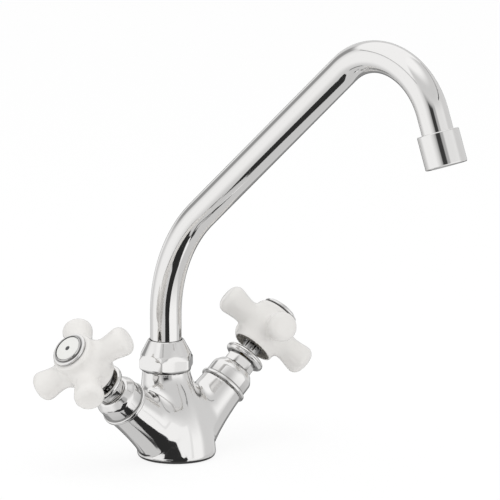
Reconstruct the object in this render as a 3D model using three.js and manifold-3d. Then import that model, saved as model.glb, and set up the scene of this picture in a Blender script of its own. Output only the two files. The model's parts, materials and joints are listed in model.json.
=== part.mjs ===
// A single-hole mixer tap in chromed brass: a cast body with two valve arms and a spout neck, a bent
// tube spout that swivels, and two screw-down valves under porcelain cross handles.
// Millimetres, +Z up. The origin is the centre of the foot, on the deck that it stands on.
// The spout's neck is behind the foot's centre, towards +Y, and the valves are at -X and +X.
import * as THREE from 'three';
import { mergeVertices } from 'three/addons/utils/BufferGeometryUtils.js';
import Module from 'manifold-3d';

const wasm = await Module();
wasm.setup();

// ---- Clearances ----
const GAP = 0.3; // between pieces that seat on each other
const RUN = 0.35; // radial room round a piece that turns or slides
const OVER = 1; // how far a cutter runs past the face that it opens

// ---- Facets ----
const FINE = 18; // sides of the large turned pieces that show
const ROUND = 12; // sides of the smaller ones
const COARSE = 8; // sides of pieces inside the tap

// ---- Foot and deck ----
const FOOT_R = 25.4;
const FOOT_EDGE = 0.8; // bevel of the foot's lower edge
const RECESS_R = 16.5; // hollow under the foot
const RECESS_DEPTH = 6;
const SEAL_IN_R = 18.2;
const SEAL_WIDTH = 2.8;
const SEAL_DEPTH = 2;
const LIMB_RINGS = 7; // sections along each limb of the casting
const LIMB_SIDES = 20;
const INLET_R = 4.2; // threaded ports for the supply tails
const INLET_ALONG = 13; // where a port meets its valve's axis, from the axis' start
const STUD_R = 3.4; // threaded hole for the fixing stud
const STUD_Y = -10;
const STUD_DEPTH = 9;

// ---- Spout neck ----
const NECK_Y = 10;
const NECK_TOP = 54.9;
const NECK_R = 15.2;
const NECK_RISE = 18; // how far up the foot keeps the neck's limb upright
const NECK_RUN = 24; // how far down the neck keeps it in line
const THREAD_R = 12.4; // outside of the neck's threaded collar
const THREAD_HEIGHT = 8;
const SOCKET_R = 9.4; // bore that the spout's tail turns in
const SOCKET_FLOOR = 31;

// ---- Spout nut ----
const NUT_HEIGHT = 19.5;
const NUT_TOP_R = 11.4;
const NUT_FLAT_R = 15.8; // from the axis to a wrench flat
const NUT_WIDE_R = 18; // over the rounded corners
const NUT_WIDE_FROM = 2.2; // the corners' full width, above the neck
const NUT_WIDE_TO = 6.4;
const NUT_FOOT_R = 15.4;
const NUT_EDGE = 0.4;
const NUT_TURN = 12.1; // degrees, where the nut happened to come tight

// ---- Spout ----
const TUBE_R = 10;
const TUBE_WALL = 1.1;
const SPOUT_TURN = 8.1; // degrees from straight forward, as the spout stands
const RISE = 90.5; // height where the tube starts to bend
const LOW_BEND_R = 93.4;
const SLOPE = 41.85; // degrees above level, of the straight run
const RUN_LENGTH = 162.2;
const TOP_BEND_R = 44.6;
const END_TILT = 20; // degrees from straight down, leaning outwards
const END_LENGTH = 12.3; // straight end, down to the aerator's case
const TUBE_IN_CASE = 7;
const TUBE_STEPS = 28;
const TUBE_SIDES = 16;
const BORE_SIDES = 8;

// ---- Spout tail ----
const COLLAR_R = 11.9;
const COLLAR_HEIGHT = 2.2;
const TAIL_LENGTH = 27; // below the collar
const TAIL_BORE_R = 5.8;
const TAIL_EDGE = 0.6;
const SPIGOT_LENGTH = 11; // above the collar, brazed inside the tube
const O_RING_R = 1; // radius of the rubber's round section
const GROOVE_SLACK = 0.15; // round the rubber, in its groove
const GROOVE_DOWN = { upper: 11, lower: 19 }; // below the collar's underside
const SLIP_RING_HEIGHT = 1.5;

// ---- Aerator ----
const CASE_R = 13.15;
const CASE_LENGTH = 21.2;
const CASE_WALL = 1.3;
const CASE_BAND = 8; // solid length round the tube's end
const CASE_EDGE = 0.6;
const LIP_IN = 2; // inward lip at the outlet
const LIP_HEIGHT = 1.4;
const INSERT_HEIGHT = 6.5;
const INSERT_FLOOR = 1.6;
const INSERT_WALL = 1.4;
const JET_R = 0.9;
const JET_RINGS = [[0, 1], [3.6, 6], [7.2, 10]]; // radius of each ring, and its holes
const JET_SIDES = 6;
const AERATOR_WASHER = 1.8;
const AERATOR_WASHER_WIDTH = 3;

// ---- Valve axes ----
const VALVE_Y = 4.4; // where both axes start, above the foot's centre
const VALVE_Z = 2.8;
const VALVE_TILT = 47.3; // degrees out from vertical
const VALVE_LEAN = 2.2; // degrees forward
// Distances along a valve axis are from its start.
const ARM_FACE = 53.3;
const ARM_R = 14.4;
const ARM_RISE = 16; // how far up the foot keeps an arm's limb upright
const ARM_RUN = 10; // how far down the arm keeps it in line
const THREAD_DEPTH = 13.3; // from the arm's face down to the headwork's seat
const CHAMBER_DEPTH = 9; // from there down to the floor round the valve seat
const CHAMBER_R = 8.2;
const ARM_BORE_R = 10.2; // threaded mouth of the arm
const SEAT_RIM = 1.2; // height of the raised seat
const SEAT_RIM_WALL = 1.3;
const SEAT_SLOPE = 0.4;
const SEAT_BORE_R = 4;
const PASSAGE_R = 3.6; // from each chamber to the spout's socket

// ---- Headwork ----
const WASHER_THICK = 1.5;
const GUIDE_LENGTH = 4; // skirt that reaches into the chamber
const GUIDE_WALL = 1.3;
const HEX_HEIGHT = 4; // the hexagon under the bonnet
const HEX_BEVEL = 1;
const HEADWORK_NECK_R = 7.3;
const THRUST_DOWN = 3; // shoulder that holds the spindle down, below the arm's face
const PACKING_DEPTH = 5.5;
const PACKING_WALL = 1.4;

// ---- Bonnet ----
const BONNET_HEIGHT = 15.7;
const BONNET_R = 13.8;
const BONNET_WALL = 1.3;
const BONNET_EYE_R = 8.2;
const DOME_R = 5.5;
const LIP_R = 15.4;
const LIP_THICK = 1.5;
const LIP_EDGE = 0.4;

// ---- Gland nut ----
const GLAND_CORNER_R = 9.8;
const GLAND_HEIGHT = 6.2;
const GLAND_TOP_WALL = 2;
const GLAND_BEVEL = 0.9;

// ---- Spindle ----
const SPINDLE_R = 4.4;
const THRUST_HEIGHT = 2;
const SPINDLE_FOOT_R = 5;
const SPINDLE_SOCKET_R = 3.3; // threaded inside for the plunger
const SPLINE_R = 4.1;
const SPLINE_ROOT_R = 3.6;
const SPLINES = 8;
const SPLINE_WIDTH = 1.2;
const SPLINE_LENGTH = 17;
const SPLINE_LEAD = 1; // plain length below and above the teeth, together
const SPINDLE_RING_R = 0.6;
const SPINDLE_RING_DOWN = 3; // below the packing

// ---- Stem collar ----
const DISC_R = 13.1;
const DISC_HEIGHT = 4.2;
const DISC_BOSS_R = 8.2;
const DISC_BOSS = 1.2;
const DISC_BOSS_EDGE = 0.5;

// ---- Plunger ----
const TRAVEL = 3.2;
const PLUNGER_HEAD = 4.6;
const PLUNGER_STEM_R = 2.8;
const PLUNGER_STEM = 10;
const SEAT_WASHER = 2.4;
const SCREW_SIDES = 8;
const WASHER_SCREW_R = 1.4;
const WASHER_SCREW_HEAD_R = 2.6;
const WASHER_SCREW_HEAD = 1.3;
const WASHER_SCREW_LENGTH = 5;

// ---- Handle ----
const HUB_OFF = 4.7; // from the stem collar's boss up to the hub's underside
const HUB_HEIGHT = 29.4;
const HUB_FOOT_R = 13.6;
const HUB_BELLY_R = 14.1;
const HUB_FOOT_EDGE = 0.8;
const HUB_SHOULDER = 3.2; // rounding of the hub's upper edge
const HOLLOW_R = 12.4; // unglazed hollow under the hub
const HOLLOW_DEPTH = 0.6;
const ARM_REACH = 34.9; // from the axis to the end of an arm
const HANDLE_ARMS = 4;
const ARM_ROOT_R = 11;
const ARM_ROOT_AT = 10.5;
const ARM_NECK_R = 9;
const ARM_NECK_AT = 15;
const ARM_WAIST_R = 8.4;
const ARM_WAIST_AT = 18.5;
const ARM_CLUB_R = 9.2;
const ARM_END_ROUND = 4.6;
const ARM_END_DOME = 0.4;
const INSERT_R = 7.2; // metal insert in the porcelain
const INSERT_NECK_R = 5.8;
const INSERT_WEB = 4.5; // solid above the splines
const PORCELAIN_WEB = 7; // solid above the insert
const SCREW_R = 1.8;
const SCREW_HEAD_R = 3.8;
const SCREW_HEAD = 2.4;
const SCREW_HEAD_EDGE = 0.5;
const SCREW_SLOT = 1;
const SCREW_REACH = 8; // into the spindle
const CAP_SPIGOT_R = 7;
const HANDLE_TURN = { left: 48, right: 66.6 }; // degrees, as the handles stand

// ---- Index cap ----
const RING_R = 11.7;
const RING_HEIGHT = 1.7;
const RING_STEP = 1.3; // height of the raised rim inside the ring
const RING_EDGE = 0.4;
const RIM_WALL = 0.9; // round the index face
const FACE_R = 8.6;
const FACE_THICK = 1.2;
const FACE_EDGE = 0.3;
const SPIGOT_DEPTH = 3;
const SPIGOT_WALL = 1.4;

// ---- Finishes ----
const chrome = { color: 0xd9dbdd, roughness: 0.08, metalness: 1 };
const brass = { color: 0xb99a5b, roughness: 0.35, metalness: 1 };
const porcelain = { color: 0xe9e7e3, roughness: 0.15, metalness: 0 };
const rubber = { color: 0x1c1c1c, roughness: 0.8, metalness: 0 };
const nylon = { color: 0xe6e4da, roughness: 0.5, metalness: 0 };
const fibre = { color: 0x9c3b2e, roughness: 0.8, metalness: 0 };
const enamel = { color: 0xf1f1ee, roughness: 0.3, metalness: 0 };

const degrees = THREE.MathUtils.degToRad;
const radial = (r, a, z = 0) => new THREE.Vector3(r * Math.cos(a), r * Math.sin(a), z);

// ---- Solids ----

// Gives a closed geometry as a solid: only positions, shared corners merged, faces pointing out.
function solid(geometry) {
  const bare = new THREE.BufferGeometry();
  bare.setAttribute('position', geometry.getAttribute('position'));
  bare.setIndex(geometry.getIndex());
  const merged = mergeVertices(bare, 1e-4);
  const point = (i) => new THREE.Vector3().fromBufferAttribute(merged.getAttribute('position'), i);
  const corners = merged.getIndex().array;
  const triangles = [];
  let volume = 0;
  for (let i = 0; i < corners.length; i += 3) {
    const [a, b, c] = corners.slice(i, i + 3);
    if (a === b || b === c || c === a) continue;
    triangles.push([a, b, c]);
    volume += point(a).dot(point(b).cross(point(c)));
  }
  if (volume < 0) triangles.forEach((t) => t.reverse());
  return new wasm.Manifold(new wasm.Mesh({
    numProp: 3,
    vertProperties: Float32Array.from(merged.getAttribute('position').array),
    triVerts: Uint32Array.from(triangles.flat()),
  }));
}

function geometryOf(shape) {
  const { vertProperties, triVerts } = shape.getMesh();
  const geometry = new THREE.BufferGeometry();
  geometry.setAttribute('position', new THREE.BufferAttribute(new Float32Array(vertProperties), 3));
  geometry.setIndex(new THREE.BufferAttribute(new Uint32Array(triVerts), 1));
  geometry.computeVertexNormals();
  return geometry;
}

const cut = (shape, ...tools) => tools.reduce((left, tool) => left.subtract(tool), shape);
const join = (...shapes) => shapes.reduce((all, shape) => all.add(shape));

// Turns a closed outline of [radius, height] points about +Z.
function turned(outline, sides = ROUND) {
  const points = outline.map(([r, z]) => new THREE.Vector2(Math.max(r, 0), z));
  if (points[0].x > 0 || points.at(-1).x > 0) points.push(points[0].clone());
  return new THREE.LatheGeometry(points, sides).rotateX(Math.PI / 2);
}

// The radius of a many-sided bore whose flats stand clear of a round piece.
const bore = (r, sides) => r / Math.cos(Math.PI / sides);

const rod = (r, from, to, sides = COARSE) => turned([[0, from], [r, from], [r, to], [0, to]], sides);

function hole(r, from, to, sides = COARSE) {
  return rod(bore(r, sides), from, to, sides);
}

function ring(inner, outer, from, to, sides = COARSE) {
  const r = bore(inner, sides);
  return turned([[r, from], [outer, from], [outer, to], [r, to]], sides);
}

// Points on a quarter or other arc of an outline, from one angle to another, in degrees.
function arc(r, z, radius, from, to, steps = 4) {
  return Array.from({ length: steps + 1 }, (_, i) => {
    const a = degrees(from + ((to - from) * i) / steps);
    return [r + radius * Math.cos(a), z + radius * Math.sin(a)];
  });
}

function prism(sides, flat, from, to) {
  const shape = new THREE.Shape();
  for (let i = 0; i < sides; i++) {
    const corner = radial(bore(flat, sides), ((i + 0.5) * 2 * Math.PI) / sides);
    if (i) shape.lineTo(corner.x, corner.y);
    else shape.moveTo(corner.x, corner.y);
  }
  const bar = new THREE.ExtrudeGeometry(shape, { depth: to - from, bevelEnabled: false });
  return bar.translate(0, 0, from);
}

// Skins a row of rings of points, with flat ends.
function loft(rings) {
  const sides = rings[0].length;
  const centre = (points) => points.reduce((sum, p) => sum.add(p), new THREE.Vector3()).divideScalar(sides);
  const points = [...rings.flat(), centre(rings[0]), centre(rings.at(-1))];
  const faces = [];
  for (let i = 0; i < sides; i++) {
    const next = (i + 1) % sides;
    for (let k = 0; k + 1 < rings.length; k++) {
      const [a, b, c, d] = [k * sides + i, k * sides + next, (k + 1) * sides + next, (k + 1) * sides + i];
      faces.push(a, b, c, a, c, d);
    }
    const top = (rings.length - 1) * sides;
    faces.push(points.length - 2, next, i, points.length - 1, top + i, top + next);
  }
  const geometry = new THREE.BufferGeometry().setFromPoints(points);
  geometry.setIndex(faces);
  return geometry;
}

function mesh(name, shape, finish) {
  const geometry = geometryOf(shape.isBufferGeometry ? solid(shape) : shape);
  const piece = new THREE.Mesh(geometry, new THREE.MeshStandardMaterial(finish));
  piece.name = name;
  return piece;
}

// ---- Places ----

function valveGroup(side) {
  const group = new THREE.Group();
  group.position.set(0, VALVE_Y, VALVE_Z);
  group.rotation.set(degrees(VALVE_LEAN), degrees(side * VALVE_TILT), 0, 'YXZ');
  group.updateMatrixWorld();
  return group;
}

const inPlace = (geometry, group) => solid(geometry.applyMatrix4(group.matrixWorld));

// ---- The cast body ----

const seatAt = ARM_FACE - THREAD_DEPTH - CHAMBER_DEPTH;
const ledgeAt = ARM_FACE - THREAD_DEPTH;
const UP = new THREE.Vector3(0, 0, 1);

// One limb of the casting. It rises from the foot's circle, leans over and narrows to a round end.
function limb(end, direction, radius, rise, run) {
  const circle = (centre, r, lean) => Array.from({ length: LIMB_SIDES }, (_, i) => (
    radial(r, (i * 2 * Math.PI) / LIMB_SIDES).applyQuaternion(lean).add(centre)));
  const upright = new THREE.Quaternion();
  const leaning = new THREE.Quaternion().setFromUnitVectors(UP, direction);
  const path = new THREE.CubicBezierCurve3(
    new THREE.Vector3(0, 0, FOOT_EDGE),
    new THREE.Vector3(0, 0, rise),
    end.clone().addScaledVector(direction, -run),
    end,
  );
  const rows = Array.from({ length: LIMB_RINGS + 1 }, (_, k) => {
    const t = k / LIMB_RINGS;
    const ease = THREE.MathUtils.smoothstep(t, 0, 1);
    const r = THREE.MathUtils.lerp(FOOT_R, radius, ease);
    return circle(path.getPoint(t), r, upright.clone().slerp(leaning, ease));
  });
  return loft([circle(new THREE.Vector3(), FOOT_R - FOOT_EDGE, upright), ...rows]);
}

function valveCutters(side) {
  const group = valveGroup(side);
  const mouth = hole(ARM_BORE_R, ledgeAt, ARM_FACE + 3 * OVER, ROUND);
  const [rim, wide] = [SEAT_BORE_R + SEAT_RIM_WALL, bore(CHAMBER_R, COARSE)];
  const chamber = turned([
    [0, seatAt + SEAT_RIM], [rim, seatAt + SEAT_RIM], [rim + SEAT_SLOPE, seatAt], [wide, seatAt],
    [wide, ledgeAt + OVER], [0, ledgeAt + OVER],
  ], COARSE);
  const seat = hole(SEAT_BORE_R, INLET_ALONG - INLET_R, seatAt + SEAT_RIM + OVER);
  const meeting = group.localToWorld(new THREE.Vector3(0, 0, INLET_ALONG));
  const inlet = hole(INLET_R, -OVER, meeting.z).translate(meeting.x, meeting.y, 0);
  return [inPlace(mouth, group), inPlace(chamber, group), inPlace(seat, group), solid(inlet)];
}

// A drilled way from the valve's chamber to the spout's socket.
function passage(side) {
  const from = valveGroup(side).localToWorld(new THREE.Vector3(0, 0, (seatAt + ledgeAt) / 2));
  const to = new THREE.Vector3(0, NECK_Y, SOCKET_FLOOR + PASSAGE_R + OVER);
  const drill = rod(PASSAGE_R, 0, from.distanceTo(to));
  const turn = new THREE.Quaternion().setFromUnitVectors(UP, to.clone().sub(from).normalize());
  return solid(drill.applyQuaternion(turn).translate(from.x, from.y, from.z));
}

function mixerBody() {
  const arms = [-1, 1].map((side) => {
    const { matrixWorld } = valveGroup(side);
    const end = new THREE.Vector3(0, 0, ARM_FACE).applyMatrix4(matrixWorld);
    return solid(limb(end, UP.clone().transformDirection(matrixWorld), ARM_R, ARM_RISE, ARM_RUN));
  });
  const neck = solid(limb(new THREE.Vector3(0, NECK_Y, NECK_TOP - GAP), UP, NECK_R, NECK_RISE, NECK_RUN));
  const atNeck = (geometry) => solid(geometry.translate(0, NECK_Y, 0));
  const threadTop = NECK_TOP + THREAD_HEIGHT;
  const thread = atNeck(rod(THREAD_R, NECK_TOP - OVER, threadTop, FINE));
  const socket = atNeck(hole(SOCKET_R, SOCKET_FLOOR, threadTop + OVER, ROUND));
  const recess = solid(hole(RECESS_R, -OVER, RECESS_DEPTH, FINE));
  const groove = solid(ring(SEAL_IN_R, SEAL_IN_R + SEAL_WIDTH, -OVER, SEAL_DEPTH, FINE));
  const stud = solid(hole(STUD_R, -OVER, RECESS_DEPTH + STUD_DEPTH).translate(0, STUD_Y, 0));
  const valves = [-1, 1].flatMap((side) => [...valveCutters(side), passage(side)]);
  const casting = join(...arms, neck, thread);
  return mesh('mixer_body', cut(casting, socket, recess, groove, stud, ...valves), chrome);
}

function baseSeal() {
  const inner = SEAL_IN_R + GAP;
  const outer = SEAL_IN_R + SEAL_WIDTH - GAP;
  return mesh('base_seal', ring(inner, outer, 0, SEAL_DEPTH - GAP, FINE), rubber);
}

// ---- Spout nut and slip ring ----

const collarUnder = NECK_TOP + THREAD_HEIGHT + GAP;
const collarTop = collarUnder + COLLAR_HEIGHT;
const slipRingTop = collarTop + GAP + SLIP_RING_HEIGHT;

function spoutNut() {
  const top = NECK_TOP + NUT_HEIGHT;
  const cone = solid(turned([
    [0, NECK_TOP], [NUT_FOOT_R, NECK_TOP], [NUT_WIDE_R, NECK_TOP + NUT_WIDE_FROM],
    [NUT_WIDE_R, NECK_TOP + NUT_WIDE_TO], [NUT_TOP_R, top - NUT_EDGE], [NUT_TOP_R - NUT_EDGE, top],
    [0, top],
  ], FINE));
  const nut = cone.intersect(solid(prism(6, NUT_FLAT_R, NECK_TOP - OVER, top + OVER)));
  const shoulder = slipRingTop + GAP;
  const thread = solid(hole(THREAD_R + GAP, NECK_TOP - OVER, shoulder, FINE));
  const eye = solid(hole(TUBE_R + GAP, shoulder - OVER, top + OVER, FINE));
  const piece = mesh('spout_nut', cut(nut, thread, eye), chrome);
  piece.position.y = NECK_Y;
  piece.rotation.z = degrees(NUT_TURN);
  return piece;
}

function slipRing() {
  const geometry = ring(TUBE_R + RUN, THREAD_R - GAP / 2, slipRingTop - SLIP_RING_HEIGHT, slipRingTop, FINE);
  const piece = mesh('slip_ring', geometry, nylon);
  piece.position.y = NECK_Y;
  return piece;
}

// ---- Spout ----

// The tube's centre line, in the plane of X (outwards) and Z (up).
class SpoutPath extends THREE.Curve {
  constructor(foot) {
    super();
    const turn = degrees(90 - SLOPE);
    const fall = degrees(SLOPE + 90 - END_TILT);
    this.foot = foot;
    this.stretches = [
      { length: RISE - foot, bend: 0 },
      { length: LOW_BEND_R * turn, bend: -1 / LOW_BEND_R },
      { length: RUN_LENGTH, bend: 0 },
      { length: TOP_BEND_R * fall, bend: -1 / TOP_BEND_R },
      { length: END_LENGTH + TUBE_IN_CASE, bend: 0 },
    ];
    this.whole = this.stretches.reduce((sum, s) => sum + s.length, 0);
  }

  // Place and heading at a distance along the tube.
  at(distance) {
    let [x, z, heading, left] = [0, this.foot, Math.PI / 2, distance];
    for (const { length, bend } of this.stretches) {
      const go = Math.min(left, length);
      if (bend) {
        x += (Math.sin(heading + bend * go) - Math.sin(heading)) / bend;
        z -= (Math.cos(heading + bend * go) - Math.cos(heading)) / bend;
      } else {
        x += go * Math.cos(heading);
        z += go * Math.sin(heading);
      }
      heading += bend * go;
      left -= go;
    }
    return { place: new THREE.Vector3(x, 0, z), heading };
  }

  getPoint(t) {
    return this.at(t * this.whole).place;
  }
}

const tubePath = new SpoutPath(collarTop + GAP);

function spoutTube() {
  const circle = (r, sides) => Array.from({ length: sides }, (_, i) => {
    const p = radial(r, (i * 2 * Math.PI) / sides);
    return new THREE.Vector2(p.x, p.y);
  });
  const wall = new THREE.Shape(circle(TUBE_R, TUBE_SIDES));
  wall.holes.push(new THREE.Path(circle(bore(TUBE_R - TUBE_WALL, BORE_SIDES), BORE_SIDES)));
  const tube = new THREE.ExtrudeGeometry(wall, { steps: TUBE_STEPS, extrudePath: tubePath });
  return mesh('spout_tube', tube, chrome);
}

// A groove for an O-ring at height z, cut from radius r down to a floor, as points going up.
function groove(r, section, z) {
  const half = section + GROOVE_SLACK;
  return [[r, z - half], [r - 2 * half, z - half], [r - 2 * half, z + half], [r, z + half]];
}

// The rubber in that groove: it stands in the middle of the groove's depth.
const oRing = (r, section, z) => (
  new THREE.TorusGeometry(r - section - GROOVE_SLACK, section, 6, ROUND).translate(0, 0, z));

const tailR = SOCKET_R - RUN;

function spoutTail() {
  const foot = collarUnder - TAIL_LENGTH;
  const spigot = TUBE_R - TUBE_WALL - GAP;
  const inner = bore(TAIL_BORE_R, ROUND);
  return mesh('spout_tail', turned([
    [inner, foot], [tailR - TAIL_EDGE, foot], [tailR, foot + TAIL_EDGE],
    ...groove(tailR, O_RING_R, collarUnder - GROOVE_DOWN.lower),
    ...groove(tailR, O_RING_R, collarUnder - GROOVE_DOWN.upper),
    [tailR, collarUnder], [COLLAR_R, collarUnder], [COLLAR_R, collarTop], [spigot, collarTop],
    [spigot, collarTop + SPIGOT_LENGTH], [inner, collarTop + SPIGOT_LENGTH],
  ], ROUND), brass);
}

const spoutRings = () => Object.entries(GROOVE_DOWN).map(([level, down]) => (
  mesh(`spout_o_ring_${level}`, oRing(tailR, O_RING_R, collarUnder - down), rubber)));

// The aerator's pieces stand on +Z from the case's upper face, pointing the way the water leaves.
const caseIn = CASE_R - CASE_WALL;
const insertFrom = CASE_LENGTH - LIP_HEIGHT - GAP - INSERT_HEIGHT;

function aeratorCase() {
  const inner = bore(caseIn, FINE);
  const eye = bore(TUBE_R + GAP, FINE);
  const mouth = bore(caseIn - LIP_IN, FINE);
  return mesh('aerator_case', turned([
    [eye, 0], [CASE_R - CASE_EDGE, 0], [CASE_R, CASE_EDGE], [CASE_R, CASE_LENGTH - CASE_EDGE],
    [CASE_R - CASE_EDGE, CASE_LENGTH], [mouth, CASE_LENGTH], [mouth, CASE_LENGTH - LIP_HEIGHT],
    [inner, CASE_LENGTH - LIP_HEIGHT], [inner, CASE_BAND], [eye, CASE_BAND],
  ], FINE), chrome);
}

function aeratorInsert() {
  const r = caseIn - GAP;
  const rim = bore(r - INSERT_WALL, ROUND);
  const end = insertFrom + INSERT_HEIGHT;
  const floor = insertFrom + INSERT_FLOOR;
  const cup = solid(turned([
    [0, insertFrom], [r, insertFrom], [r, end], [rim, end], [rim, floor], [0, floor],
  ], ROUND));
  const jets = JET_RINGS.flatMap(([at, count]) => Array.from({ length: count }, (_, i) => {
    const place = radial(at, (i * 2 * Math.PI) / count);
    const jet = rod(JET_R, insertFrom - OVER, floor + OVER, JET_SIDES);
    return solid(jet.translate(place.x, place.y, 0));
  }));
  return mesh('aerator_insert', cut(cup, ...jets), nylon);
}

function aeratorWasher() {
  const outer = caseIn - GAP;
  const to = insertFrom - GAP;
  const flat = ring(outer - AERATOR_WASHER_WIDTH, outer, to - AERATOR_WASHER, to, ROUND);
  return mesh('aerator_washer', flat, rubber);
}

function spout() {
  const group = new THREE.Group();
  group.position.y = NECK_Y;
  group.rotation.z = degrees(SPOUT_TURN - 90);
  const { place, heading } = tubePath.at(tubePath.whole - TUBE_IN_CASE);
  const aerator = new THREE.Group();
  aerator.position.copy(place);
  aerator.quaternion.setFromUnitVectors(UP, new THREE.Vector3(Math.cos(heading), 0, Math.sin(heading)));
  aerator.add(aeratorCase(), aeratorInsert(), aeratorWasher());
  group.add(spoutTube(), spoutTail(), ...spoutRings(), aerator);
  return group;
}

// ---- Valves ----

const bonnetFoot = ARM_FACE + GAP;
const bonnetTop = ARM_FACE + BONNET_HEIGHT + GAP;
const headworkSeat = ledgeAt + GAP + WASHER_THICK + GAP;
const guideR = CHAMBER_R - GAP - GUIDE_WALL; // inside the guide, and of all that runs in it
const glandFoot = bonnetTop + GAP;
const glandTop = glandFoot + GLAND_HEIGHT;
const neckTop = glandTop - GLAND_TOP_WALL - GAP;
const packingFrom = neckTop - PACKING_DEPTH;
const discUnder = glandTop + GAP;
const discTop = discUnder + DISC_HEIGHT;
const bossTop = discTop + DISC_BOSS;
const splineFoot = discUnder - GAP;
const splineTop = splineFoot + SPLINE_LENGTH;
const washerUnder = seatAt + SEAT_RIM + GAP;
const plungerUnder = washerUnder + SEAT_WASHER + GAP;
const headTop = plungerUnder + PLUNGER_HEAD;
const stemTop = headTop + PLUNGER_STEM;

function headworkWasher(name) {
  const from = ledgeAt + GAP;
  return mesh(name, ring(CHAMBER_R, ARM_BORE_R - GAP, from, from + WASHER_THICK, ROUND), fibre);
}

// The valve's brass head. Its guide is eight-sided inside, so that the plunger cannot turn in it.
function headwork(name) {
  const guideFrom = ledgeAt - GUIDE_LENGTH;
  const skirt = CHAMBER_R - GAP;
  const threadR = ARM_BORE_R - GAP;
  const hexTop = bonnetFoot + HEX_HEIGHT;
  const corner = BONNET_R - BONNET_WALL - GAP;
  const hexFlat = corner * Math.cos(Math.PI / 6);
  const outside = solid(turned([
    [0, guideFrom], [skirt, guideFrom], [skirt, headworkSeat], [threadR, headworkSeat],
    [threadR, bonnetFoot], [corner, bonnetFoot], [corner, hexTop - HEX_BEVEL], [hexFlat, hexTop],
    [HEADWORK_NECK_R, hexTop], [HEADWORK_NECK_R, neckTop], [0, neckTop],
  ], ROUND)).intersect(solid(prism(6, hexFlat, guideFrom - OVER, neckTop + OVER)));
  const guide = solid(hole(guideR, guideFrom - OVER, ARM_FACE - THRUST_DOWN, COARSE));
  const way = solid(hole(SPINDLE_R + RUN, guideFrom, packingFrom + OVER, ROUND));
  const box = solid(hole(SPINDLE_R + RUN + PACKING_WALL, packingFrom, neckTop + OVER, COARSE));
  return mesh(name, cut(outside, guide, way, box), brass);
}

function bonnet(name) {
  const lipTop = bonnetFoot + LIP_THICK;
  const inner = bore(BONNET_R - BONNET_WALL, FINE);
  const eye = bore(BONNET_EYE_R, FINE);
  const [domeAt, domeFrom] = [BONNET_R - DOME_R, bonnetTop - DOME_R];
  return mesh(name, turned([
    [inner, bonnetFoot], [LIP_R - LIP_EDGE, bonnetFoot], [LIP_R, bonnetFoot + LIP_EDGE],
    [LIP_R - LIP_EDGE / 2, lipTop], [BONNET_R + LIP_EDGE, lipTop + LIP_EDGE],
    [BONNET_R, lipTop + 3 * LIP_EDGE], ...arc(domeAt, domeFrom, DOME_R, 0, 90, 5), [eye, bonnetTop],
    [eye, bonnetTop - BONNET_WALL], [inner - DOME_R / 2, bonnetTop - BONNET_WALL],
    [inner, domeFrom],
  ], FINE), chrome);
}

function glandPacking(name) {
  const outer = SPINDLE_R + RUN + PACKING_WALL - GAP;
  return mesh(name, ring(SPINDLE_R + RUN, outer, packingFrom + GAP, neckTop - GAP, COARSE), nylon);
}

function glandNut(name) {
  const bar = solid(turned([
    [0, glandFoot], [GLAND_CORNER_R, glandFoot], [GLAND_CORNER_R, glandTop - GLAND_BEVEL],
    [GLAND_CORNER_R - 1.5 * GLAND_BEVEL, glandTop], [0, glandTop],
  ], ROUND));
  const flat = GLAND_CORNER_R * Math.cos(Math.PI / 6);
  const nut = bar.intersect(solid(prism(6, flat, glandFoot - OVER, glandTop + OVER)));
  const thread = solid(hole(HEADWORK_NECK_R + GAP, glandFoot - OVER, neckTop + GAP, ROUND));
  const eye = solid(hole(SPINDLE_R + RUN, neckTop, glandTop + OVER, ROUND));
  return mesh(name, cut(nut, thread, eye), chrome);
}

const spindleRingAt = packingFrom - SPINDLE_RING_DOWN;

function spindle(name) {
  const thrustTop = ARM_FACE - THRUST_DOWN - GAP;
  const thrustFoot = thrustTop - THRUST_HEIGHT;
  const foot = headTop + TRAVEL + OVER;
  const shaft = solid(turned([
    [0, foot], [SPINDLE_FOOT_R, foot], [SPINDLE_FOOT_R, thrustFoot], [guideR - RUN, thrustFoot],
    [guideR - RUN, thrustTop], [SPINDLE_R, thrustTop], ...groove(SPINDLE_R, SPINDLE_RING_R, spindleRingAt),
    [SPINDLE_R, splineFoot], [SPLINE_ROOT_R, splineFoot], [SPLINE_ROOT_R, splineTop], [0, splineTop],
  ], COARSE));
  const teeth = Array.from({ length: SPLINES }, (_, i) => {
    const tooth = new THREE.BoxGeometry(SPLINE_R, SPLINE_WIDTH, SPLINE_LENGTH - SPLINE_LEAD);
    tooth.translate(SPLINE_R / 2, 0, splineFoot + SPLINE_LENGTH / 2);
    return solid(tooth.rotateZ((i * 2 * Math.PI) / SPLINES));
  });
  const socket = solid(hole(SPINDLE_SOCKET_R, foot - OVER, stemTop + TRAVEL + OVER));
  const screwHole = solid(hole(SCREW_R + GAP, splineTop - SCREW_REACH - OVER, splineTop + OVER));
  return mesh(name, cut(join(shaft, ...teeth), socket, screwHole), brass);
}

const spindleRing = (name) => mesh(name, oRing(SPINDLE_R, SPINDLE_RING_R, spindleRingAt), rubber);

function stemCollar(name) {
  const half = DISC_HEIGHT / 2;
  const eye = bore(SPLINE_R + GAP, ROUND);
  return mesh(name, turned([
    [eye, discUnder], ...arc(DISC_R - half, discUnder + half, half, -90, 90, 6),
    [DISC_BOSS_R, discTop], [DISC_BOSS_R - DISC_BOSS_EDGE, bossTop], [eye, bossTop],
  ], FINE), chrome);
}

function plunger(name) {
  const head = bore(guideR - RUN, COARSE);
  const shape = solid(turned([
    [0, plungerUnder], [head, plungerUnder], [head, headTop], [PLUNGER_STEM_R, headTop],
    [PLUNGER_STEM_R, stemTop], [0, stemTop],
  ], COARSE));
  const depth = WASHER_SCREW_LENGTH - SEAT_WASHER;
  const tapped = solid(hole(WASHER_SCREW_R + GAP, plungerUnder - OVER, plungerUnder + depth));
  return mesh(name, cut(shape, tapped), brass);
}

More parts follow.
